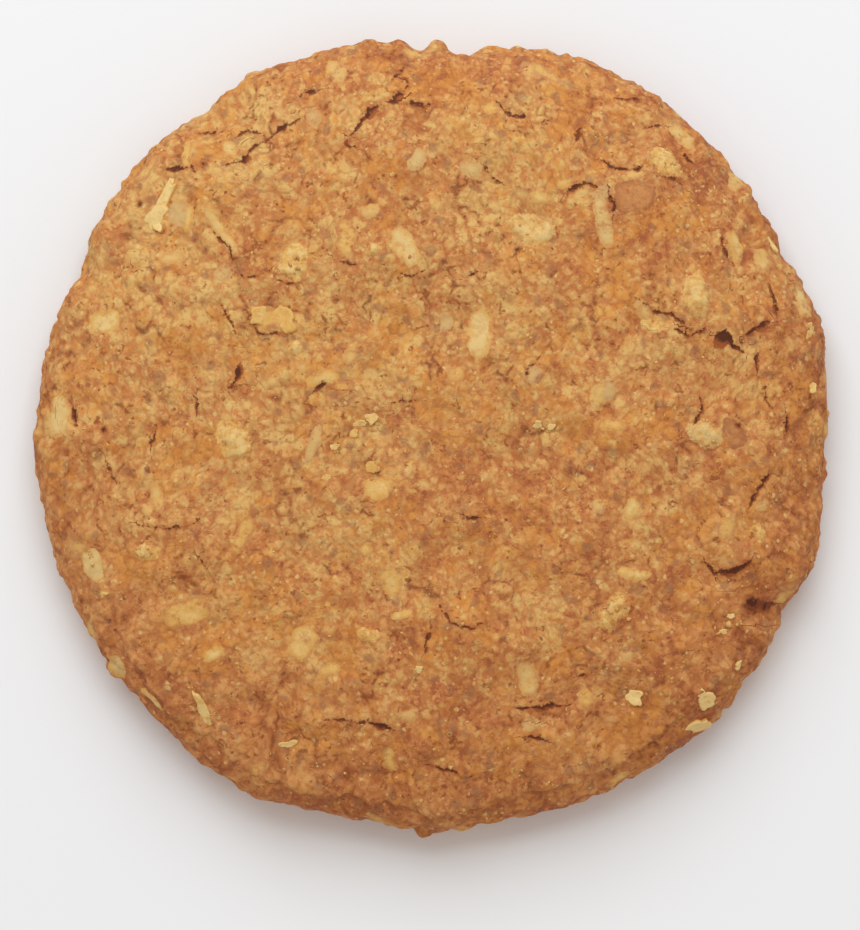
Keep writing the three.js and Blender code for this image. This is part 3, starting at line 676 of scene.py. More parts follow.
oat, oat_row, oat_below = read_flakes(smooth_points)
oat_proud, oat_ragged = flake_rows[oat_row, 5], flake_rows[oat_row, 8]
mound = oat_ragged >= MOUND_RAGGED
loose = (oat_ragged >= LOOSE_RAGGED) & ~mound
wavering = FINE_WAVER * soft_noise(smooth_points, 0.6, 98)
wavering += (WAVER + MOUND_WAVER * mound) * soft_noise(smooth_points, 1.1, 99)
inside = 1 - smooth(oat + wavering, -0.3, 0.06)
dome = np.sqrt(smooth(-oat, -0.1, 1.0))
flush_rise = FLUSH_PROUD * oat_proud * (0.4 + dome + FLAKE_TILT * oat_below * smooth(oat, -1.0, 0.0))
grain = two_noises((0.5, 1.0), 100, 0.7)
mound_rise = MOUND_RISE * np.sqrt(smooth(-oat, -0.1, 1.2)) + MOUND_GRAIN * grain
proud = np.where(loose, 0.0, np.where(mound, mound_rise, flush_rise))
# a groove beside each proud flake on the side away from the light, whose shadow is also painted
shadowed_nook = np.exp(-(((oat - NOOK_OUT) / NOOK_WIDTH) ** 2))
shadowed_nook = shadowed_nook * smooth(oat_below, 0.1, 0.8) * smooth(oat_proud, 0.15, 0.4)
print(f"flakes cover {inside.mean():.1%} of the corners")

# %% Tear it, and make its edge ragged
NOOK_DEPTH = 0.14
PIT_BOWL = 0.3
PRESSED_FLAT = 0.7
TEAR_REACH = 0.9
RAGGED_EDGE, FINE_RAGGED_EDGE = 0.18, 0.14

crack_offset, crack_half, torn, lifted = read_cracks(flat)
pit_gap = read_pits(flat) + 0.25 * soft_noise(smooth_points, 0.45, 97) + 0.08
torn = np.maximum(torn, PIT_BOWL * (1 - smooth(pit_gap, -0.3, 0.1))) * (share < TEAR_REACH)
height = (relief - splitting - NOOK_DEPTH * shadowed_nook) * (1 - PRESSED_FLAT * inside) + proud * inside
height = height - torn + lifted * (share < TEAR_REACH)
height = np.maximum(height, rim_crumbs(smooth_points))
ragged = RAGGED_EDGE * soft_noise(smooth_points, 1.3, 90)
ragged = ragged + FINE_RAGGED_EDGE * soft_noise(smooth_points, 0.55, 91)
ragged += RAGGED_EDGE * soft_noise(smooth_points, 2.4, 92)
fade_to_base = 1 - smooth(share, 0.97, 1.0)
sheet = smooth_points + out * (fade_to_base * height + smooth(share, 0.8, 0.9) * ragged)[:, None]
sheet[:, 2] = np.maximum(sheet[:, 2], 0)
print(f"deepest tear {torn.max():.2f} mm")

# %% [markdown]
# ## The underside
#
# The base set against the tray, so it is flat and finely pitted. It needs far fewer corners than the
# crown. A narrow ring keeps the turn at the edge tight, and a strip of triangles then steps down from
# four corners to one, so that the surface stays closed.

# %% Close the biscuit with its base
BASE_RINGS = RINGS // 4
BASE_LIP = 0.012
BASE_PIT, PIT_SPACING, PIT_LUCK = 0.22, 2.4, 0.5


def last_ring(rings, first=0):
    """Corner numbers round the edge of a ringed disc, counter-clockwise."""
    return first + 1 + 3 * rings * (rings - 1) + np.arange(6 * rings)


def disc_faces(rings, first=0):
    """Three-cornered faces between each ring and the one inside it, counter-clockwise."""
    faces = []
    for ring in range(1, rings + 1):
        outer = last_ring(ring, first)
        inner = last_ring(ring - 1, first) if ring > 1 else np.array([first])
        sector, step = np.divmod(np.arange(6 * ring), ring)
        here = sector * (ring - 1) + step
        faces.append(np.stack([inner[here % len(inner)], outer, np.roll(outer, -1)], -1))
        within = step < ring - 1
        thirds = [inner[here % len(inner)], np.roll(outer, -1), inner[(here + 1) % len(inner)]]
        faces.append(np.stack(thirds, -1)[within])
    return np.concatenate(faces)


rim_corners = last_ring(RINGS)
lip_points = sheet[rim_corners] * [1 - BASE_LIP, 1 - BASE_LIP, 0]
base_share, base_bearing = ringed_disc(BASE_RINGS)
base_reach = base_share * (1 - 2.5 * BASE_LIP)
base_points = crust(np.ones_like(base_share), base_bearing)[0] * base_reach[:, None]
base_points[:, 2] = 0
base_gap, _, base_luck = pebbles(base_points, PIT_SPACING, 120)
base_pits = BASE_PIT * (base_luck < PIT_LUCK) * (1 - smooth(base_gap, 0.1, 0.5))
base_points[:, 2] = base_pits * (1 - smooth(base_share, 0.9, 0.97))

first_lip = len(sheet)
first_base = first_lip + len(lip_points)
lip_corners = first_lip + np.arange(len(rim_corners))
coarse = last_ring(BASE_RINGS, first_base)
next_coarse = np.roll(coarse, -1)
lip_steps = np.append(lip_corners, lip_corners[0])
lip_strip = np.stack([rim_corners, lip_corners, np.roll(lip_corners, -1), np.roll(rim_corners, -1)], -1)
zip_strip = np.concatenate(
    [
        np.stack([lip_corners[k::4], coarse if k < 2 else next_coarse, lip_steps[k + 1 :: 4]], -1)
        for k in range(4)
    ]
    + [np.stack([lip_corners[2::4], coarse, next_coarse], -1)]
)
dough_points = np.concatenate([sheet, lip_points, base_points])
dough_faces = [disc_faces(RINGS), lip_strip, disc_faces(BASE_RINGS, first_base)[:, ::-1], zip_strip]
triangles = sum(len(rows) * (rows.shape[1] - 2) for rows in dough_faces)
print(f"the dough takes {triangles} triangles")

# %% [markdown]
# ## Paint as sums
#
# The crust's colour is a recipe of many thin layers, and node by node it would fill pages. One small
# class wraps a number that varies over the surface, so that ordinary sums on it add Math nodes.
# A second class is the recipe itself: it adds every other node, mixes colours and ends in the shader.

# %% A number that varies over a surface, and a recipe that mixes colours
class Tone:
    """One node's output; each sum on it adds a Math node to its recipe."""

    def __init__(self, recipe, socket):
        self.recipe, self.socket = recipe, socket

    def __add__(self, other):
        return self.recipe.sum("ADD", self, other)

    def __sub__(self, other):
        return self.recipe.sum("SUBTRACT", self, other)

    def __rsub__(self, other):
        return self.recipe.sum("SUBTRACT", other, self)

    def __mul__(self, other):
        return self.recipe.sum("MULTIPLY", self, other)

    def __abs__(self):
        return self.recipe.sum("ABSOLUTE", self)

    __radd__, __rmul__ = __add__, __mul__

    def ease(self, low, high):
        """Eased step from 0 at low to 1 at high."""
        settings = {"interpolation_type": "SMOOTHSTEP"}
        values = {"Value": self, "From Min": low, "From Max": high}
        return self.recipe.node("ShaderNodeMapRange", settings, values)["Result"]

    def below(self, low, high):
        """The same step turned over: from 1 at low to 0 at high."""
        return 1 - self.ease(low, high)


class Recipe:
    """A material whose nodes are added by sums and by layers of colour."""

    SHINE = 0.25

    def __init__(self, name, roughness):
        self.material = bpy.data.materials.new(name)
        self.material.use_nodes = True
        self.tree = self.material.node_tree
        self.shader = self.tree.nodes["Principled BSDF"]
        self.shader.inputs["Roughness"].default_value = roughness
        self.shader.inputs["Specular IOR Level"].default_value = self.SHINE
        self.place = self.node("ShaderNodeTexCoord", {}, {})["Object"].socket
        self.paint = None

    def node(self, kind, settings, values):
        """Adds a node, sets it up, fills its sockets, and gives its outputs by name."""
        added = self.tree.nodes.new(kind)
        for key, value in settings.items():
            setattr(added, key, value)
        for key, value in values.items():
            self.fill(added.inputs[key], value)
        return {socket.name: Tone(self, socket) for socket in added.outputs if socket.enabled}

    def fill(self, socket, value):
        """Links a tone or an output to a socket, or sets the socket's own value."""
        if isinstance(value, Tone):
            value = value.socket
        if isinstance(value, bpy.types.NodeSocket):
            self.tree.links.new(value, socket)
        else:
            socket.default_value = value

    def sum(self, operation, *values):
        """One Math node."""
        return self.node("ShaderNodeMath", {"operation": operation}, dict(enumerate(values)))["Value"]

    def reading(self, name):
        """A number kept at each corner of the mesh."""
        return self.node("ShaderNodeAttribute", {"attribute_name": name}, {})["Fac"]

    def noise(self, size, detail=2.0, roughness=0.5):
        """The outputs of a soft noise whose blotches are about a size in millimetres."""
        values = {"Vector": self.place, "Scale": 1 / (size * MM), "Detail": detail, "Roughness": roughness}
        return self.node("ShaderNodeTexNoise", {}, values)

    def clouds(self, size, detail=2.0, roughness=0.5):
        """Three soft noises about 0: a noise's red, green and blue, less a half."""
        coloured = self.noise(size, detail, roughness)["Color"]
        parts = self.node("ShaderNodeSeparateColor", {}, {"Color": coloured})
        return [parts[name] - 0.5 for name in ("Red", "Green", "Blue")]

    def cloud(self, size, detail=2.0, roughness=0.5):
        """One soft noise about 0: a noise's level, less a half."""
        return self.noise(size, detail, roughness)["Fac"] - 0.5

    def vector(self, operation, values):
        """One Vector Math node."""
        return self.node("ShaderNodeVectorMath", {"operation": operation}, values)["Vector"]

    def jostle(self, size, reach):
        """From here on, places are moved by noise of a size, up to a reach, both in millimetres."""
        middle = self.vector("SUBTRACT", {0: self.noise(size)["Color"], 1: (0.5, 0.5, 0.5)})
        move = self.vector("SCALE", {0: middle, "Scale": 2 * reach * MM})
        self.place = self.vector("ADD", {0: self.place, 1: move})

    def dots(self, size):
        """Millimetres from one random point in each cell of a size, and two chances of the cell."""
        found = self.node("ShaderNodeTexVoronoi", {}, {"Vector": self.place, "Scale": 1 / (size * MM)})
        luck = self.node("ShaderNodeSeparateColor", {}, {"Color": found["Color"]})
        return found["Distance"] * size, luck["Red"], luck["Green"]

    def mix(self, share, first, second):
        """The first colour, covered by the second where the share is 1."""
        values = {0: share, 6: first, 7: second}
        return self.node("ShaderNodeMix", {"data_type": "RGBA"}, values)["Result"]

    def lay(self, shade, share, strength=None):
        """Covers the paint so far with a shade where the share is 1, by a strength."""
        self.paint = self.mix(share if strength is None else strength * share, self.paint, shade)

    def finish(self, colour, height=None, depth=0.1):
        """Ends in the shader: the colour, and a bump whose full step is a depth in millimetres."""
        self.fill(self.shader.inputs["Base Color"], colour)
        if height is not None:
            bump = self.node("ShaderNodeBump", {}, {"Height": height, "Distance": depth * MM})["Normal"]
            self.fill(self.shader.inputs["Normal"], bump)
        print(f"{self.material.name}: {len(self.tree.nodes)} nodes")
        return self.material


def colour(red, green, blue):
    """A shade given as on a screen, 0 to 255 a channel, as the linear light that Blender mixes."""
    parts = np.array([red, green, blue]) / 255
    linear = np.where(parts > 0.04045, ((parts + 0.055) / 1.055) ** 2.4, parts / 12.92)
    return (*linear.tolist(), 1.0)


print("mid grey in linear light:", round(colour(128, 128, 128)[0], 3))


# %% A mesh piece from arrays
def build_piece(name, points, faces, material, readings):
    """A smooth mesh from points in millimetres from the ring's middle and rows of corner numbers."""
    placed = np.array(points, float)
    placed[:, :2] += RING_MIDDLE
    corners = np.concatenate([rows.ravel() for rows in faces])
    sides = np.concatenate([np.full(len(rows), rows.shape[1]) for rows in faces])
    mesh = bpy.data.meshes.new(name)
    mesh.vertices.add(len(placed))
    mesh.vertices.foreach_set("co", (placed * MM).ravel())
    mesh.loops.add(len(corners))
    mesh.loops.foreach_set("vertex_index", corners)
    mesh.polygons.add(len(sides))
    mesh.polygons.foreach_set("loop_start", np.cumsum(sides) - sides)
    mesh.update(calc_edges=True)
    mesh.shade_smooth()
    for key, values in readings.items():
        mesh.attributes.new(key, "FLOAT", "POINT").data.foreach_set("value", values)
    mesh.materials.append(material)
    piece = bpy.data.objects.new(name, mesh)
    bpy.context.scene.collection.objects.link(piece)
    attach(piece, "root")
    print(f"{name}: {(sides - 2).sum()} triangles")
    return piece




# %% [markdown]
# ## The crust's colour
#
# Syrup and sugar brown unevenly: the crown runs from pale gold at its upper left to a toasted orange
# brown, with a redder painted shade in low places and a ruddy painted shade at the lower rim. It is made
# of granules, each with its own tone, and of lumps that took more heat than others. Over them lie
# grey-brown spots where a grain of sugar shows through, painted shade in the crevices between the
# granules, cream grains of flour, pores of painted shade, the flush oats, then splits, tears, cracks and
# holes with painted shade in them, and painted shadow in the nooks below the oats. Each is one layer of
# paint. What is broader than the mesh's triangles is worked out at its corners, because that is quick to
# render.

# %% Where the crust took more heat, and painted shade in its low places
TOASTED_PATCHES = np.array(
    [
        # place on the photograph, radius in millimetres, and how much browner (paler below 0)
        (258, 230, 3.0, 0.6), (408, 148, 2.5, 0.5), (245, 552, 3.0, 0.5), (715, 188, 3.0, 0.5),
        (480, 470, 8.0, 0.18), (170, 740, 4.0, 0.5), (640, 230, 7.0, 0.5), (640, 640, 9.0, 0.3),
        (665, 720, 5.0, 0.45), (183, 675, 3.5, 0.35), (440, 790, 6.0, 0.35), (85, 480, 4.0, 0.25),
        (440, 690, 9.0, 0.25), (720, 500, 8.0, 0.2), (165, 260, 4.0, -0.5), (240, 115, 4.0, -0.5),
        (215, 180, 6.0, -0.4), (470, 125, 5.0, -0.4), (320, 330, 9.0, -0.35), (385, 385, 5.0, -0.55),
        (235, 632, 4.0, -0.3), (433, 154, 4.0, -0.15), (437, 46, 0.9, -0.9), (530, 230, 5.0, -0.3),
        (230, 440, 6.0, -0.2), (690, 290, 4.0, -0.3), (616, 776, 3.0, -0.5),
    ]
)  # fmt: skip
PATCH_TOAST, UNEVEN_TOAST, OWN_TOAST = 0.5, 0.2, 0.4
BASE_TOAST, BARE_TOAST = 0.35, 0.38
RIM_TOAST, RIM_BEARING = 0.26, math.radians(40)
LOW_PAINTED_SHADE, LOW_DEPTH = 0.35, 0.18

patch_middle = from_ring(TOASTED_PATCHES[:, :2])
patch_gap = np.linalg.norm(dough_points[:, None, :2] - patch_middle, axis=-1) / TOASTED_PATCHES[:, 2]
toast_and_low_shade = PATCH_TOAST * (TOASTED_PATCHES[:, 3] * np.exp(-(patch_gap**2))).sum(-1)
toast_and_low_shade += UNEVEN_TOAST * (soft_noise(dough_points, 6.5, 150) + soft_noise(dough_points, 2.4, 151))
toast_and_low_shade[first_base:] += BASE_TOAST
near_rim = smooth(np.linalg.norm(flat, axis=1) / DIAMETER * 2, 0.78, 0.95)
toast_and_low_shade[: len(sheet)] += RIM_TOAST * near_rim * (0.5 + 0.5 * np.cos(bearing - RIM_BEARING))
lump_tone_and_low_shade = OWN_TOAST * (stone_luck - 0.5) * smooth(stone_next - stone_near, 0.0, 0.3)
lump_tone_and_low_shade += OWN_TOAST * (lump_luck - 0.5) * smooth(lump_next - lump_near, 0.0, 0.3)
# low places between the lumps get a redder painted shade
lump_tone_and_low_shade += LOW_PAINTED_SHADE * np.clip(-relief / LOW_DEPTH, -0.2, 1)
toast_and_low_shade[: len(sheet)] += lump_tone_and_low_shade + BARE_TOAST * bare
print(f"toast from {toast_and_low_shade.min():.2f} to {toast_and_low_shade.max():.2f}")

# %% Readings that the crust's corners keep
SPOT_SIZE, SPOT_LUCK = 1.5, 0.7
SPOT_CORE, SPOT_EDGE = 0.25, 0.5

spot_near, _, spot_luck = pebbles(uneven, SPOT_SIZE, 160)
spot = 1 - smooth(SPOT_SIZE * spot_near, SPOT_CORE, SPOT_EDGE + 0.25 * spot_luck)
spot = spot * smooth(SPOT_LUCK - spot_luck, 0, 0.3)
outward = np.linalg.norm(dough_points[:, :2], axis=1) / DIAMETER * 2
downward = -dough_points[:, 1] / DIAMETER * 2


def with_base(values, elsewhere):
    """Readings of the sheet, followed by one value for the lip and the base."""
    return np.append(values, np.full(len(dough_points) - len(sheet), elsewhere))


readings = {
    "toast_and_low_shade": toast_and_low_shade,
    # a ruddy painted shade on the lower rim, where less light falls
    "lower_rim_shade": smooth(outward, 0.55, 0.9) * smooth(downward, -0.3, 0.5),
    "orange": soft_noise(dough_points, 3.6, 152) + 0.7 * soft_noise(dough_points, 1.4, 153),
    "spot": with_base(spot, 0.0),
    "creamy": with_base(smooth(two_noises((3.0, 1.3), 154, 0.6), -0.4, 0.9), 0.2),
    "split": with_base(split, 1.0),
    "shadowed_nook": with_base(shadowed_nook * (1 - inside), 0.0),
    "oat": with_base(np.where(loose, FAR_FROM_FLAKES, oat + wavering), FAR_FROM_FLAKES),
    "oat_pale": with_base(flake_rows[oat_row, 6] + 0.25 * mound * grain, 0.0),
    "oat_grey": with_base(flake_rows[oat_row, 7], 0.0),
    "oat_crumbly": with_base(mound, 0.0),
    "crack_offset": with_base(crack_offset, FAR_FROM_CRACKS),
    "crack_half": with_base(crack_half, 0.0),
    "pit": with_base(pit_gap, FAR_FROM_CRACKS),
}
print("readings:", ", ".join(readings))

# %% Shades of the crust and the oats
CREAM = colour(218, 179, 111)
PALE_GOLD = colour(214, 171, 101)
GOLDEN = colour(207, 150, 87)
TOASTED = colour(193, 121, 67)
RUSSET = colour(158, 88, 53)
ORANGE = colour(209, 138, 60)
DUSTY = colour(208, 171, 108)
# ruddy tint of the painted shade on the lower rim
LOWER_RIM_SHADE_TINT = colour(214, 137, 84)
SUGAR_SPOT = colour(156, 106, 71)
# painted shade for pores and for hollows: crevices, splits, tears, nooks, cracks and holes
PORE_SHADE = colour(112, 60, 34)
HOLLOW_SHADE = colour(156, 82, 38)
DARK_HOLLOW_SHADE = colour(116, 58, 30)
DEEPEST_HOLLOW_SHADE = colour(78, 34, 18)
OAT_BROWN = colour(160, 96, 56)
OAT_TOASTED = colour(190, 126, 73)
OAT_GOLD = colour(216, 166, 88)
OAT_PALE = colour(224, 192, 126)
OAT_GREY = colour(194, 164, 116)


def oat_colour(recipe, pale, grey):
    """Brown, toasted, golden or pale oat by a reading, greyer where it is soaked through."""
    mixed = recipe.mix(pale.ease(-0.6, 0.1), OAT_BROWN, OAT_TOASTED)
    mixed = recipe.mix(pale.ease(0.0, 0.55), mixed, OAT_GOLD)
    mixed = recipe.mix(pale.ease(0.5, 1.05), mixed, OAT_PALE)
    return recipe.mix(grey, mixed, OAT_GREY)


print("deepest tear in linear light:", [round(part, 3) for part in DEEPEST_HOLLOW_SHADE[:3]])

# %% Brown the crust
CLOUD_SIZE, CRUMBLE_SIZE, GRANULE_SIZE = 1.2, 0.5, 0.42
EVEN_BROWN, TOAST_PULL, CLOUD_PULL, CRUMBLE_PULL, GRANULE_PULL = 0.4, 1.2, 1.7, 3.1, 0.8

baked = Recipe("baked_crust", 0.8)
cloud, glow, strain = baked.clouds(CLOUD_SIZE, detail=2.0, roughness=0.6)
crumble, blush, flour = baked.clouds(CRUMBLE_SIZE, detail=4.0, roughness=0.78)
baked.jostle(size=0.35, reach=0.16)
granule, granule_dark, granule_cream = baked.dots(GRANULE_SIZE)
granule_shade = granule_dark - 0.5
lower_rim_shade_wash = 0.45 * baked.reading("lower_rim_shade")
orange = 0.7 * baked.reading("orange") + 3.2 * glow + 4.5 * blush

brown = EVEN_BROWN + TOAST_PULL * baked.reading("toast_and_low_shade") + CLOUD_PULL * cloud
brown = brown + CRUMBLE_PULL * crumble + GRANULE_PULL * granule_shade
baked.paint = baked.mix(brown.ease(-0.25, 0.3), PALE_GOLD, GOLDEN)
# a ruddy painted shade over the lower rim
baked.lay(LOWER_RIM_SHADE_TINT, lower_rim_shade_wash)
baked.lay(TOASTED, brown.ease(0.25, 0.85))
baked.lay(RUSSET, brown.ease(0.8, 1.5))
baked.lay(ORANGE, orange.ease(-0.1, 1.0), strength=0.7)
print(f"{len(baked.tree.nodes)} nodes so far")

# %% Add the sugar spots, painted shade in the crevices, the cream grains, and pores of painted shade
GRAIN_MOST = 0.2

tiny = granule + 0.35 * blush
crevice = granule + 0.3 * blush + 0.9 * crumble + 0.2 * lower_rim_shade_wash
grain_size = GRAIN_MOST * (granule_cream + 0.1 * baked.reading("creamy")).ease(0.85, 1.05)
baked.lay(SUGAR_SPOT, (baked.reading("spot") + 0.35 * crumble).ease(0.0, 0.9), strength=0.65)
# painted shade in the crevices between the granules
baked.lay(HOLLOW_SHADE, crevice.ease(0.52, 0.82), strength=0.85)
baked.lay(DARK_HOLLOW_SHADE, crevice.ease(0.74, 0.9), strength=0.7)
baked.lay(CREAM, (tiny - grain_size).below(-0.03, 0.02), strength=0.85)
# tiny pores, dark with painted shade
baked.lay(PORE_SHADE, granule_dark.ease(0.965, 0.98) * tiny.below(0.07, 0.15), strength=0.8)
print(f"{len(baked.tree.nodes)} nodes so far")

# %% Lay the oats in, and dust it with flour
crumbly = baked.reading("oat_crumbly")
pale = baked.reading("oat_pale")
oat_edge = baked.reading("oat") + (0.45 + 0.8 * crumbly) * crumble
flush = oat_edge.below(-0.11, 0.04)
oat_shade = 0.08 + pale - 0.5 * oat_edge.ease(-0.8, 0.1) + glow
oat_shade = oat_shade + (1.1 + 2.2 * crumbly) * blush + 0.2 * (granule_cream - 0.5)
soaked = baked.reading("oat_grey") * (0.85 + 1.8 * blush)
hidden = (2.2 * cloud + 1.8 * crumble + 0.2 * granule_shade).ease(0.08, 0.4)
hidden = hidden * (1 - 0.6 * crumbly) * (1.1 - 0.9 * pale)
baked.lay(oat_colour(baked, oat_shade, soaked), flush * (1 - hidden), strength=0.9)
dust = (flour + 0.12 * baked.reading("creamy")).ease(0.09, 0.22)
baked.lay(DUSTY, (0.5 - 0.3 * flush - 0.5 * lower_rim_shade_wash) * dust)
print(f"{len(baked.tree.nodes)} nodes so far")

# %% Paint shade into the splits and the tears, and paint shadow into the nooks below the oats
split_edge = baked.reading("split") + 0.35 * crumble + 0.3 * flush
# painted shade in the splits
baked.lay(HOLLOW_SHADE, split_edge.below(-0.02, 0.1), strength=0.5)
baked.lay(DARK_HOLLOW_SHADE, split_edge.below(-0.07, 0.0), strength=0.7)
tearing = (strain + 0.3 * blush) * (1 - flush)
opening = abs(glow) - 0.3 * tearing + 0.15 * crumble
tear = opening.below(-0.05, 0.02) * tearing.ease(0.11, 0.17)
# painted shade in the tears
baked.lay(HOLLOW_SHADE, tear, strength=0.65)
baked.lay(DARK_HOLLOW_SHADE, opening.below(-0.06, -0.02) * tear, strength=0.45)
# painted shadow on the crust just below each proud oat, away from the light
baked.lay(HOLLOW_SHADE, (baked.reading("shadowed_nook") + 1.2 * crumble).ease(0.35, 1.0), strength=0.6)
print(f"{len(baked.tree.nodes)} nodes so far")

# %% Paint shade into the cracks and the holes
CRACK_SHIFT, CRACK_SPREAD, HOLE_RAGGED = 0.04, 1.15, 1.6

across_crack = baked.reading("crack_offset")
torn_edge = 0.9 * crumble + 0.2 * granule_shade
crack_edge = abs(across_crack + CRACK_SHIFT) - CRACK_SPREAD * baked.reading("crack_half") + torn_edge
wall_depth = across_crack + 0.9 * crumble + 0.25 * granule_shade
# painted shade along each crack
baked.lay(HOLLOW_SHADE, crack_edge.below(-0.02, 0.14), strength=0.6)
# painted shadow, darkest under the crack's upper lip
crack_shadow_colour = baked.mix(wall_depth.ease(-0.4, 0.0), HOLLOW_SHADE, DEEPEST_HOLLOW_SHADE)
baked.lay(crack_shadow_colour, crack_edge.below(-0.06, 0.02), strength=0.95)
hole_edge = baked.reading("pit") + HOLE_RAGGED * torn_edge
# painted shade in the holes, darkest in the middle
baked.lay(HOLLOW_SHADE, hole_edge.below(-0.05, 0.2), strength=0.5)
baked.lay(DARK_HOLLOW_SHADE, hole_edge.below(-0.3, -0.05), strength=0.8)
baked.lay(DEEPEST_HOLLOW_SHADE, hole_edge.below(-0.5, -0.3), strength=0.9)
print(f"{len(baked.tree.nodes)} nodes so far")

# %% Bump the grain and build the crust
GRAIN_DEPTH = 0.045

lumpy = 0 - 0.4 * granule_dark - crumble - 0.4 * granule - 0.6 * tear
lumpy = lumpy * (1 - 0.35 * flush * (1 - crumbly))
baked_crust = baked.finish(baked.paint, lumpy, GRAIN_DEPTH)
biscuit = build_piece("biscuit_crust", dough_points, dough_faces, baked_crust, readings)
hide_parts("biscuit")


# %% [markdown]
# ## Loose flakes and shreds of coconut
#
# Most oats are baked in flush and are part of the crust's own relief and paint. Ragged ones and shreds
# of coconut stand prouder, with crisp edges and a shadow, so each of these is a thin closed plate:
# rings round an uneven oblong outline, flat on top and falling below the crust at the rim, so that the
# crust itself cuts the visible edge. Each leans a little its own way, because none lies quite flat. All
# are worked out at once, as one array, and follow the crust.

# %% Shape every flake at once
FLAKE_CORNERS = 36
FLAKE_RINGS = np.array([0.0, 0.3, 0.55, 0.75, 0.88, 0.95, 0.99, 1.02])
UNDER_RINGS = np.array([0.9, 0.0])
FLAKE_SUNK, UNDER_SUNK = 0.35, 1.6 * 0.35
SOFT_EDGE, CRISP_EDGE = 10.0, 40.0
PLATE_PROUD, PLATE_BEND = 0.4, 0.06
LEAST_WAVES, RAGGED_MORE = 0.04, 0.2
LEAST_BUMPS, RAGGED_BUMPS, BUMP_SIZE = 0.02, 0.05, 0.6
CROWN_PLATES = 0.8
RAGGED_WAVES = ((2, 0.7), (3, 0.9), (5, 0.6), (7, 0.3), (11, 0.15), (15, 0.12))
PLATE_SLOPE, STEEP_LENGTH = 0.3, 1.5


def squared_off(wave):
    """A cosine or sine drawn out towards a superellipse's corners: its sign times a power of its size."""
    return np.sign(wave) * np.abs(wave) ** (2 / FLAKE_SQUARE)


def flake_points(rows, seed):
    """Rings of each flake: a superellipse with seeded waves, its height proud less a power of the ring."""
    share, _, length, width, turn, proud, _, _, ragged = rows.T[:, :, None, None]
    luck = np.random.default_rng(seed).random((len(rows), len(RAGGED_WAVES) + 1))[:, :, None, None]
    angle = np.linspace(0, 2 * math.pi, FLAKE_CORNERS, endpoint=False)
    ring = np.concatenate([FLAKE_RINGS, UNDER_RINGS])[:, None]
    waves = sum(
        strength * np.sin(times * angle + 2 * math.pi * luck[:, number])
        for number, (times, strength) in enumerate(RAGGED_WAVES)
    )
    spread = ring * (1 + (LEAST_WAVES + RAGGED_MORE * ragged) * waves)
    flat_x = length / 2 * spread * squared_off(np.cos(angle))
    along = np.clip(2 * flat_x / length, -1, 1) ** 2
    bend = PLATE_BEND * (luck[:, -1] - 0.5) * length * along
    flat_y = width / 2 * spread * squared_off(np.sin(angle)) + bend
    edge = SOFT_EDGE + (CRISP_EDGE - SOFT_EDGE) * ragged
    under = np.arange(len(ring))[:, None] >= len(FLAKE_RINGS)
    top = PLATE_PROUD * proud - (PLATE_PROUD * proud + FLAKE_SUNK) * ring**edge
    lean = 2 * math.pi * luck[:, 0] * luck[:, -1]
    slope = PLATE_SLOPE * (flat_x * np.cos(lean) + flat_y * np.sin(lean))
    height = np.where(under, -UNDER_SUNK, top) + slope * np.minimum(1, STEEP_LENGTH / length)
    spun = [np.cos(turn) * flat_x - np.sin(turn) * flat_y, np.sin(turn) * flat_x + np.cos(turn) * flat_y]
    here, upright = (array[:, None, None] for array in seats(rows[:, 0], rows[:, 1]))
    lying = here + tipped(np.stack([*spun, np.zeros_like(flat_x)], -1), upright)
    follow = crust(*crown_share(lying[..., :2]))[0][..., 2] - lying[..., 2]
    lying[..., 2] += np.where(share < CROWN_PLATES, follow, 0)
    bumps = (LEAST_BUMPS + RAGGED_BUMPS * ragged) * soft_noise(lying, BUMP_SIZE, seed) * ~under
    return lying + upright * (height + bumps)[..., None]


def ringed_faces(count, rings, corners):
    """Faces of many closed bodies made of rings: four corners between rings, three at the poles."""
    column = np.arange(corners)
    after = (column + 1) % corners
    row = np.arange(1, rings - 2)[:, None] * corners
    walls = np.stack([row + column, row + corners + column, row + corners + after, row + after], -1)
    last = (rings - 2) * corners
    top = np.stack([0 * column, corners + column, corners + after], -1)
    bottom = np.stack([last + column, 0 * column + last + corners, last + after], -1)
    start = np.arange(count)[:, None, None] * rings * corners
    return [(start + rows).reshape(-1, rows.shape[1]) for rows in (walls.reshape(-1, 4), top, bottom)]


def keep_used(points, faces):
    """The corners that a face uses, in order, and the faces renumbered."""
    used, renumbered = np.unique(np.concatenate([rows.ravel() for rows in faces]), return_inverse=True)
    ends = np.cumsum([rows.size for rows in faces])[:-1]
    return used, [part.reshape(rows.shape) for part, rows in zip(np.split(renumbered, ends), faces)]


loose_rows = flake_rows[(flake_rows[:, 8] >= LOOSE_RAGGED) & (flake_rows[:, 8] < MOUND_RAGGED)]
flakes = flake_points(loose_rows, 7)
flake_count, ring_count = flakes.shape[:2]
flake_used, flake_faces = keep_used(flakes, ringed_faces(flake_count, ring_count, FLAKE_CORNERS))
print(f"{flake_count} flakes of {ring_count} rings")

# %% Colour them like oats
flake_ring = np.concatenate([FLAKE_RINGS, np.ones(len(UNDER_RINGS))])


def over_flakes(values):
    """One value for each flake, given to all its corners."""
    return np.broadcast_to(values[:, None, None], flakes.shape[:3]).ravel()[flake_used]


flake_readings = {
    "pale": over_flakes(loose_rows[:, 6]),
    "grey": over_flakes(loose_rows[:, 7]),
    "rim": np.broadcast_to(flake_ring[None, :, None], flakes.shape[:3]).ravel()[flake_used],
}
OAT_CREAM = colour(236, 201, 132)
FLAKE_GRAIN_DEPTH = 0.03

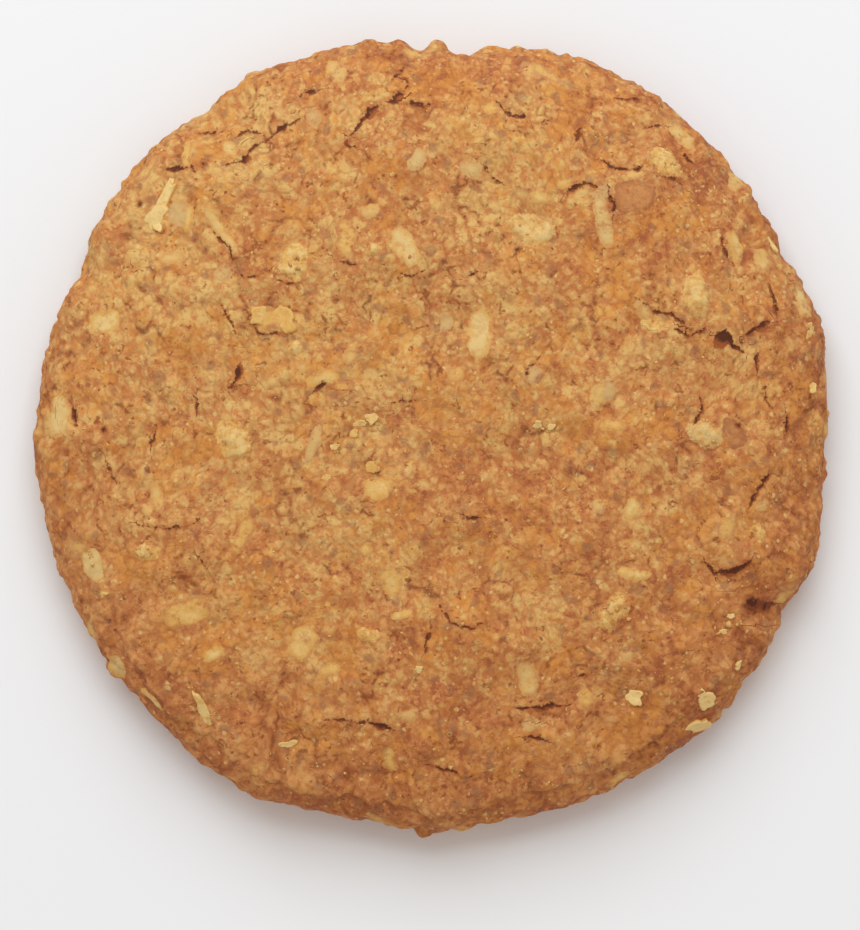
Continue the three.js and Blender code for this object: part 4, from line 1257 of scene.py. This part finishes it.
oat_plate = Recipe("oat_flake", 0.7)
plate_streak = oat_plate.cloud(0.5, detail=3.0, roughness=0.6)
grist = oat_plate.cloud(0.25, detail=2.0, roughness=0.6)
plate_pale, plate_rim = oat_plate.reading("pale"), oat_plate.reading("rim")
oat_plate.paint = oat_colour(oat_plate, plate_pale + 1.4 * plate_streak, oat_plate.reading("grey"))
oat_plate.lay(OAT_CREAM, (plate_pale + plate_streak).ease(0.7, 1.1), strength=0.7)
oat_plate.lay(OAT_GOLD, (plate_rim + 0.6 * plate_streak).ease(0.75, 1.05), strength=0.4)
# the sunken wall of each flake is painted orange: partly its browned edge, partly a warm painted shade
oat_plate.lay(ORANGE, plate_rim.ease(0.94, 1.0), strength=0.85)
oat_plate.lay(TOASTED, (0 - grist).ease(0.08, 0.25), strength=0.4)
oat_flake = oat_plate.finish(oat_plate.paint, grist + plate_streak, FLAKE_GRAIN_DEPTH)
build_piece("oat_flakes", flakes.reshape(-1, 3)[flake_used], flake_faces, oat_flake, flake_readings)


# %% [markdown]
# ## Crumbs
#
# The crust is strewn with grains of flour, sugar and broken oat, under half a millimetre, thickest
# where it broke. Particles would be lost on export, so each crumb is a small uneven solid of twenty
# faces, and all of them are one mesh worked out as arrays: a seat on the crust, a size, a turn.

# %% Scatter the crumbs
CRUMB_COUNT = 2800
CRUMB_LEAST, CRUMB_MOST = 0.06, 0.16
CRUMB_SUNK = 0.6
CROWN_ONLY = 0.84
CRUMB_PILES = np.array(
    [
        # place on the photograph, spread in millimetres, how many, how large, how pale
        (293, 265, 1.1, 8, 0.16, 0.6), (613, 610, 1.1, 8, 0.16, 0.5), (150, 549, 0.9, 6, 0.16, 0.6),
        (371, 419, 0.8, 5, 0.14, 0.7), (704, 432, 1.0, 6, 0.15, 0.8), (370, 468, 0.8, 4, 0.14, 0.5),
        (660, 165, 1.1, 6, 0.15, 0.6), (545, 426, 0.8, 5, 0.14, 0.9), (520, 240, 1.4, 6, 0.15, 0.6),
        (80, 560, 1.0, 6, 0.14, 0.8), (690, 330, 1.4, 6, 0.14, 0.5), (724, 625, 1.0, 6, 0.14, 0.8),
    ]
)  # fmt: skip

draws = np.random.default_rng(2024)
broken = 0.35 + smooth(two_noises((5.0, 1.6), 300, 0.6), -0.2, 0.9)
weight = (0.15 + broken) * (share < CROWN_ONLY) * (1 - 0.9 * inside) * (torn < 0.1)
strewn = draws.choice(len(sheet), CRUMB_COUNT, replace=False, p=weight / weight.sum())
strewn_size = CRUMB_LEAST + (CRUMB_MOST - CRUMB_LEAST) * draws.random(CRUMB_COUNT) ** 3
strewn_pale = draws.random(CRUMB_COUNT)

pile_of = np.repeat(np.arange(len(CRUMB_PILES)), CRUMB_PILES[:, 3].astype(int))
pile_size, pile_pale = CRUMB_PILES[pile_of, 4:].T
piled = []
for (spread, count), middle in zip(CRUMB_PILES[:, 2:4], from_ring(CRUMB_PILES[:, :2])):
    weight = (share < CROWN_ONLY) * np.exp(-(((flat - middle) / (0.6 * spread)) ** 2).sum(-1) / 2)
    piled.append(draws.choice(len(sheet), int(count), replace=False, p=weight / weight.sum()))
piled = np.concatenate(piled)
print(f"{CRUMB_COUNT} crumbs strewn and {len(pile_of)} in {len(CRUMB_PILES)} piles")

# %% Shape the crumbs
GOLDEN_RATIO = (1 + math.sqrt(5)) / 2

corner_axes = [(0, s, t * GOLDEN_RATIO) for s in (-1, 1) for t in (-1, 1)]
twelve = np.array([np.roll(axis, turn) for turn in range(3) for axis in corner_axes])
twelve = twelve / math.sqrt(1 + GOLDEN_RATIO**2)
apart = np.linalg.norm(twelve[:, None] - twelve, axis=-1)
touching = np.abs(apart - apart[apart > 0.1].min()) < 0.01
all_threes = np.argwhere(np.ones((12, 12, 12), bool))
first, second, third = all_threes.T
meeting = touching[first, second] & touching[first, third] & touching[second, third]
threes = all_threes[meeting & (first < second) & (second < third)]
at, *others = np.moveaxis(twelve[threes], 1, 0)
inward = (np.cross(others[0] - at, others[1] - at) * at).sum(-1) < 0
threes[inward] = threes[inward][:, ::-1]
print(f"a crumb has {len(twelve)} corners and {len(threes)} faces")


def turned_at_random(count):
    """A turn matrix for each crumb, from four normal draws scaled to a unit quaternion."""
    drawn = draws.normal(size=(count, 4))
    w, x, y, z = (drawn / np.linalg.norm(drawn, axis=1, keepdims=True)).T
    rows = [
        [1 - 2 * (y * y + z * z), 2 * (x * y - z * w), 2 * (x * z + y * w)],
        [2 * (x * y + z * w), 1 - 2 * (x * x + z * z), 2 * (y * z - x * w)],
        [2 * (x * z - y * w), 2 * (y * z + x * w), 1 - 2 * (x * x + y * y)],
    ]
    return np.moveaxis(np.array(rows), -1, 0)


def crumb_points(middles, radii):
    """Twelve corners of each crumb: an icosahedron with uneven corners, turned at random."""
    knobbly = 0.6 + 0.8 * draws.random((len(middles), 12, 1))
    shape = twelve * knobbly * (radii[:, None] * (0.4 + 1.2 * draws.random((len(middles), 3))))[:, None]
    return middles[:, None] + np.einsum("nij,nkj->nki", turned_at_random(len(middles)), shape)


# %% Seat the crumbs
pile_radius = pile_size * (0.6 + 0.8 * draws.random(len(pile_of)))
crumb_middles = np.concatenate(
    [
        sheet[strewn] - out[strewn] * (CRUMB_SUNK * strewn_size)[:, None],
        sheet[piled] + out[piled] * (pile_radius * (0.1 + 0.4 * draws.random(len(pile_of))))[:, None],
    ]
)
crumb_radii = np.concatenate([strewn_size, pile_radius])
crumbs = crumb_points(crumb_middles, crumb_radii)
crumb_faces = (12 * np.arange(len(crumbs))[:, None, None] + threes).reshape(-1, 3)
pile_pale = np.clip(pile_pale + 0.3 * (draws.random(len(pile_of)) - 0.5), 0, 1)
crumb_pale = np.concatenate([strewn_pale, pile_pale])
print(f"{len(crumbs)} crumbs from {2 * crumb_radii.min():.2f} to {2 * crumb_radii.max():.2f} mm")

# %% Colour the crumbs
CRUMB_TOASTED = colour(192, 130, 70)
CRUMB_CREAM = colour(216, 172, 103)

strewn_paint = Recipe("crumb", 0.8)
crumb_shade = strewn_paint.reading("pale") + 0.6 * strewn_paint.cloud(0.3)
crumb_finish = strewn_paint.finish(strewn_paint.mix(crumb_shade.ease(0.15, 1.0), CRUMB_TOASTED, CRUMB_CREAM))
crumb_readings = {"pale": np.repeat(crumb_pale, 12)}
build_piece("crumbs", crumbs.reshape(-1, 3), [crumb_faces], crumb_finish, crumb_readings)

# %% [markdown]
# ## Floor, light and camera
#
# The biscuit lies on a plain pale floor under soft studio light that comes mostly from the top of the
# photograph, so the lower rim is a little darker. One large, slightly cool lamp gives that side and a
# slightly warm sky fills the rest, which keeps the shadows soft. The camera looks straight down through
# a long lens, far enough away that the crown isn't enlarged, and its frame is the photograph's.

# %% Set up the floor and the light
FLOOR_SIDE = 2.0
FLOOR_TONE = (0.86, 0.86, 0.86, 1.0)
SKY_STRENGTH = 0.54
SKY_TONE = (1.08, 1.0, 0.94)
KEY_TONE = (0.9, 1.0, 1.07)
KEY_PLACE = (-0.04, 0.44, 0.5)
KEY_SIZE = 0.6
KEY_WATTS = 3.6

half_floor = FLOOR_SIDE / 2
floor_mesh = bpy.data.meshes.new("floor")
floor_corners = [(x * half_floor, y * half_floor, 0.0) for x, y in ((-1, -1), (1, -1), (1, 1), (-1, 1))]
floor_mesh.from_pydata(floor_corners, [], [(0, 1, 2, 3)])
floor_recipe = Recipe("pale_floor", 0.9)
floor_mesh.materials.append(floor_recipe.finish(FLOOR_TONE))
floor = bpy.data.objects.new("floor", floor_mesh)
bpy.context.scene.collection.objects.link(floor)

sky = bpy.data.worlds.new("studio")
sky.use_nodes = True
sky.node_tree.nodes["Background"].inputs["Color"].default_value = (*SKY_TONE, 1.0)
sky.node_tree.nodes["Background"].inputs["Strength"].default_value = SKY_STRENGTH
bpy.context.scene.world = sky

key_light = bpy.data.lights.new("key", "AREA")
key_light.size = KEY_SIZE
key_light.energy = KEY_WATTS
key_light.color = KEY_TONE
key = bpy.data.objects.new("key", key_light)
key.location = KEY_PLACE
towards = np.array(KEY_PLACE) / np.linalg.norm(KEY_PLACE)
key.rotation_euler = (math.acos(towards[2]), 0, math.atan2(towards[1], towards[0]) + math.pi / 2)
bpy.context.scene.collection.objects.link(key)
bpy.context.scene.view_settings.view_transform = "Standard"
print(f"key light {np.linalg.norm(KEY_PLACE):.2f} m away")

# %% Point the camera straight down
PHOTO_WIDE, PHOTO_HIGH = 860, 930
CAMERA_HEIGHT = 0.6
FOCUS_HEIGHT = 6.0
SENSOR_HIGH = 24.0

frame_high = PHOTO_HIGH * MM_PER_PIXEL * MM
look_at = (np.array([PHOTO_WIDE, PHOTO_HIGH]) / 2 - PHOTO_MIDDLE) * UP_THE_PHOTO * MM
lens = bpy.data.cameras.new("camera")
lens.sensor_fit = "VERTICAL"
lens.sensor_height = SENSOR_HIGH
lens.lens = SENSOR_HIGH * (CAMERA_HEIGHT - FOCUS_HEIGHT * MM) / frame_high
camera = bpy.data.objects.new("camera", lens)
camera.location = (look_at[0], look_at[1], CAMERA_HEIGHT)
bpy.context.scene.collection.objects.link(camera)
bpy.context.scene.camera = camera
print(f"lens {lens.lens:.0f} mm, looking at {look_at.round(5)} m")
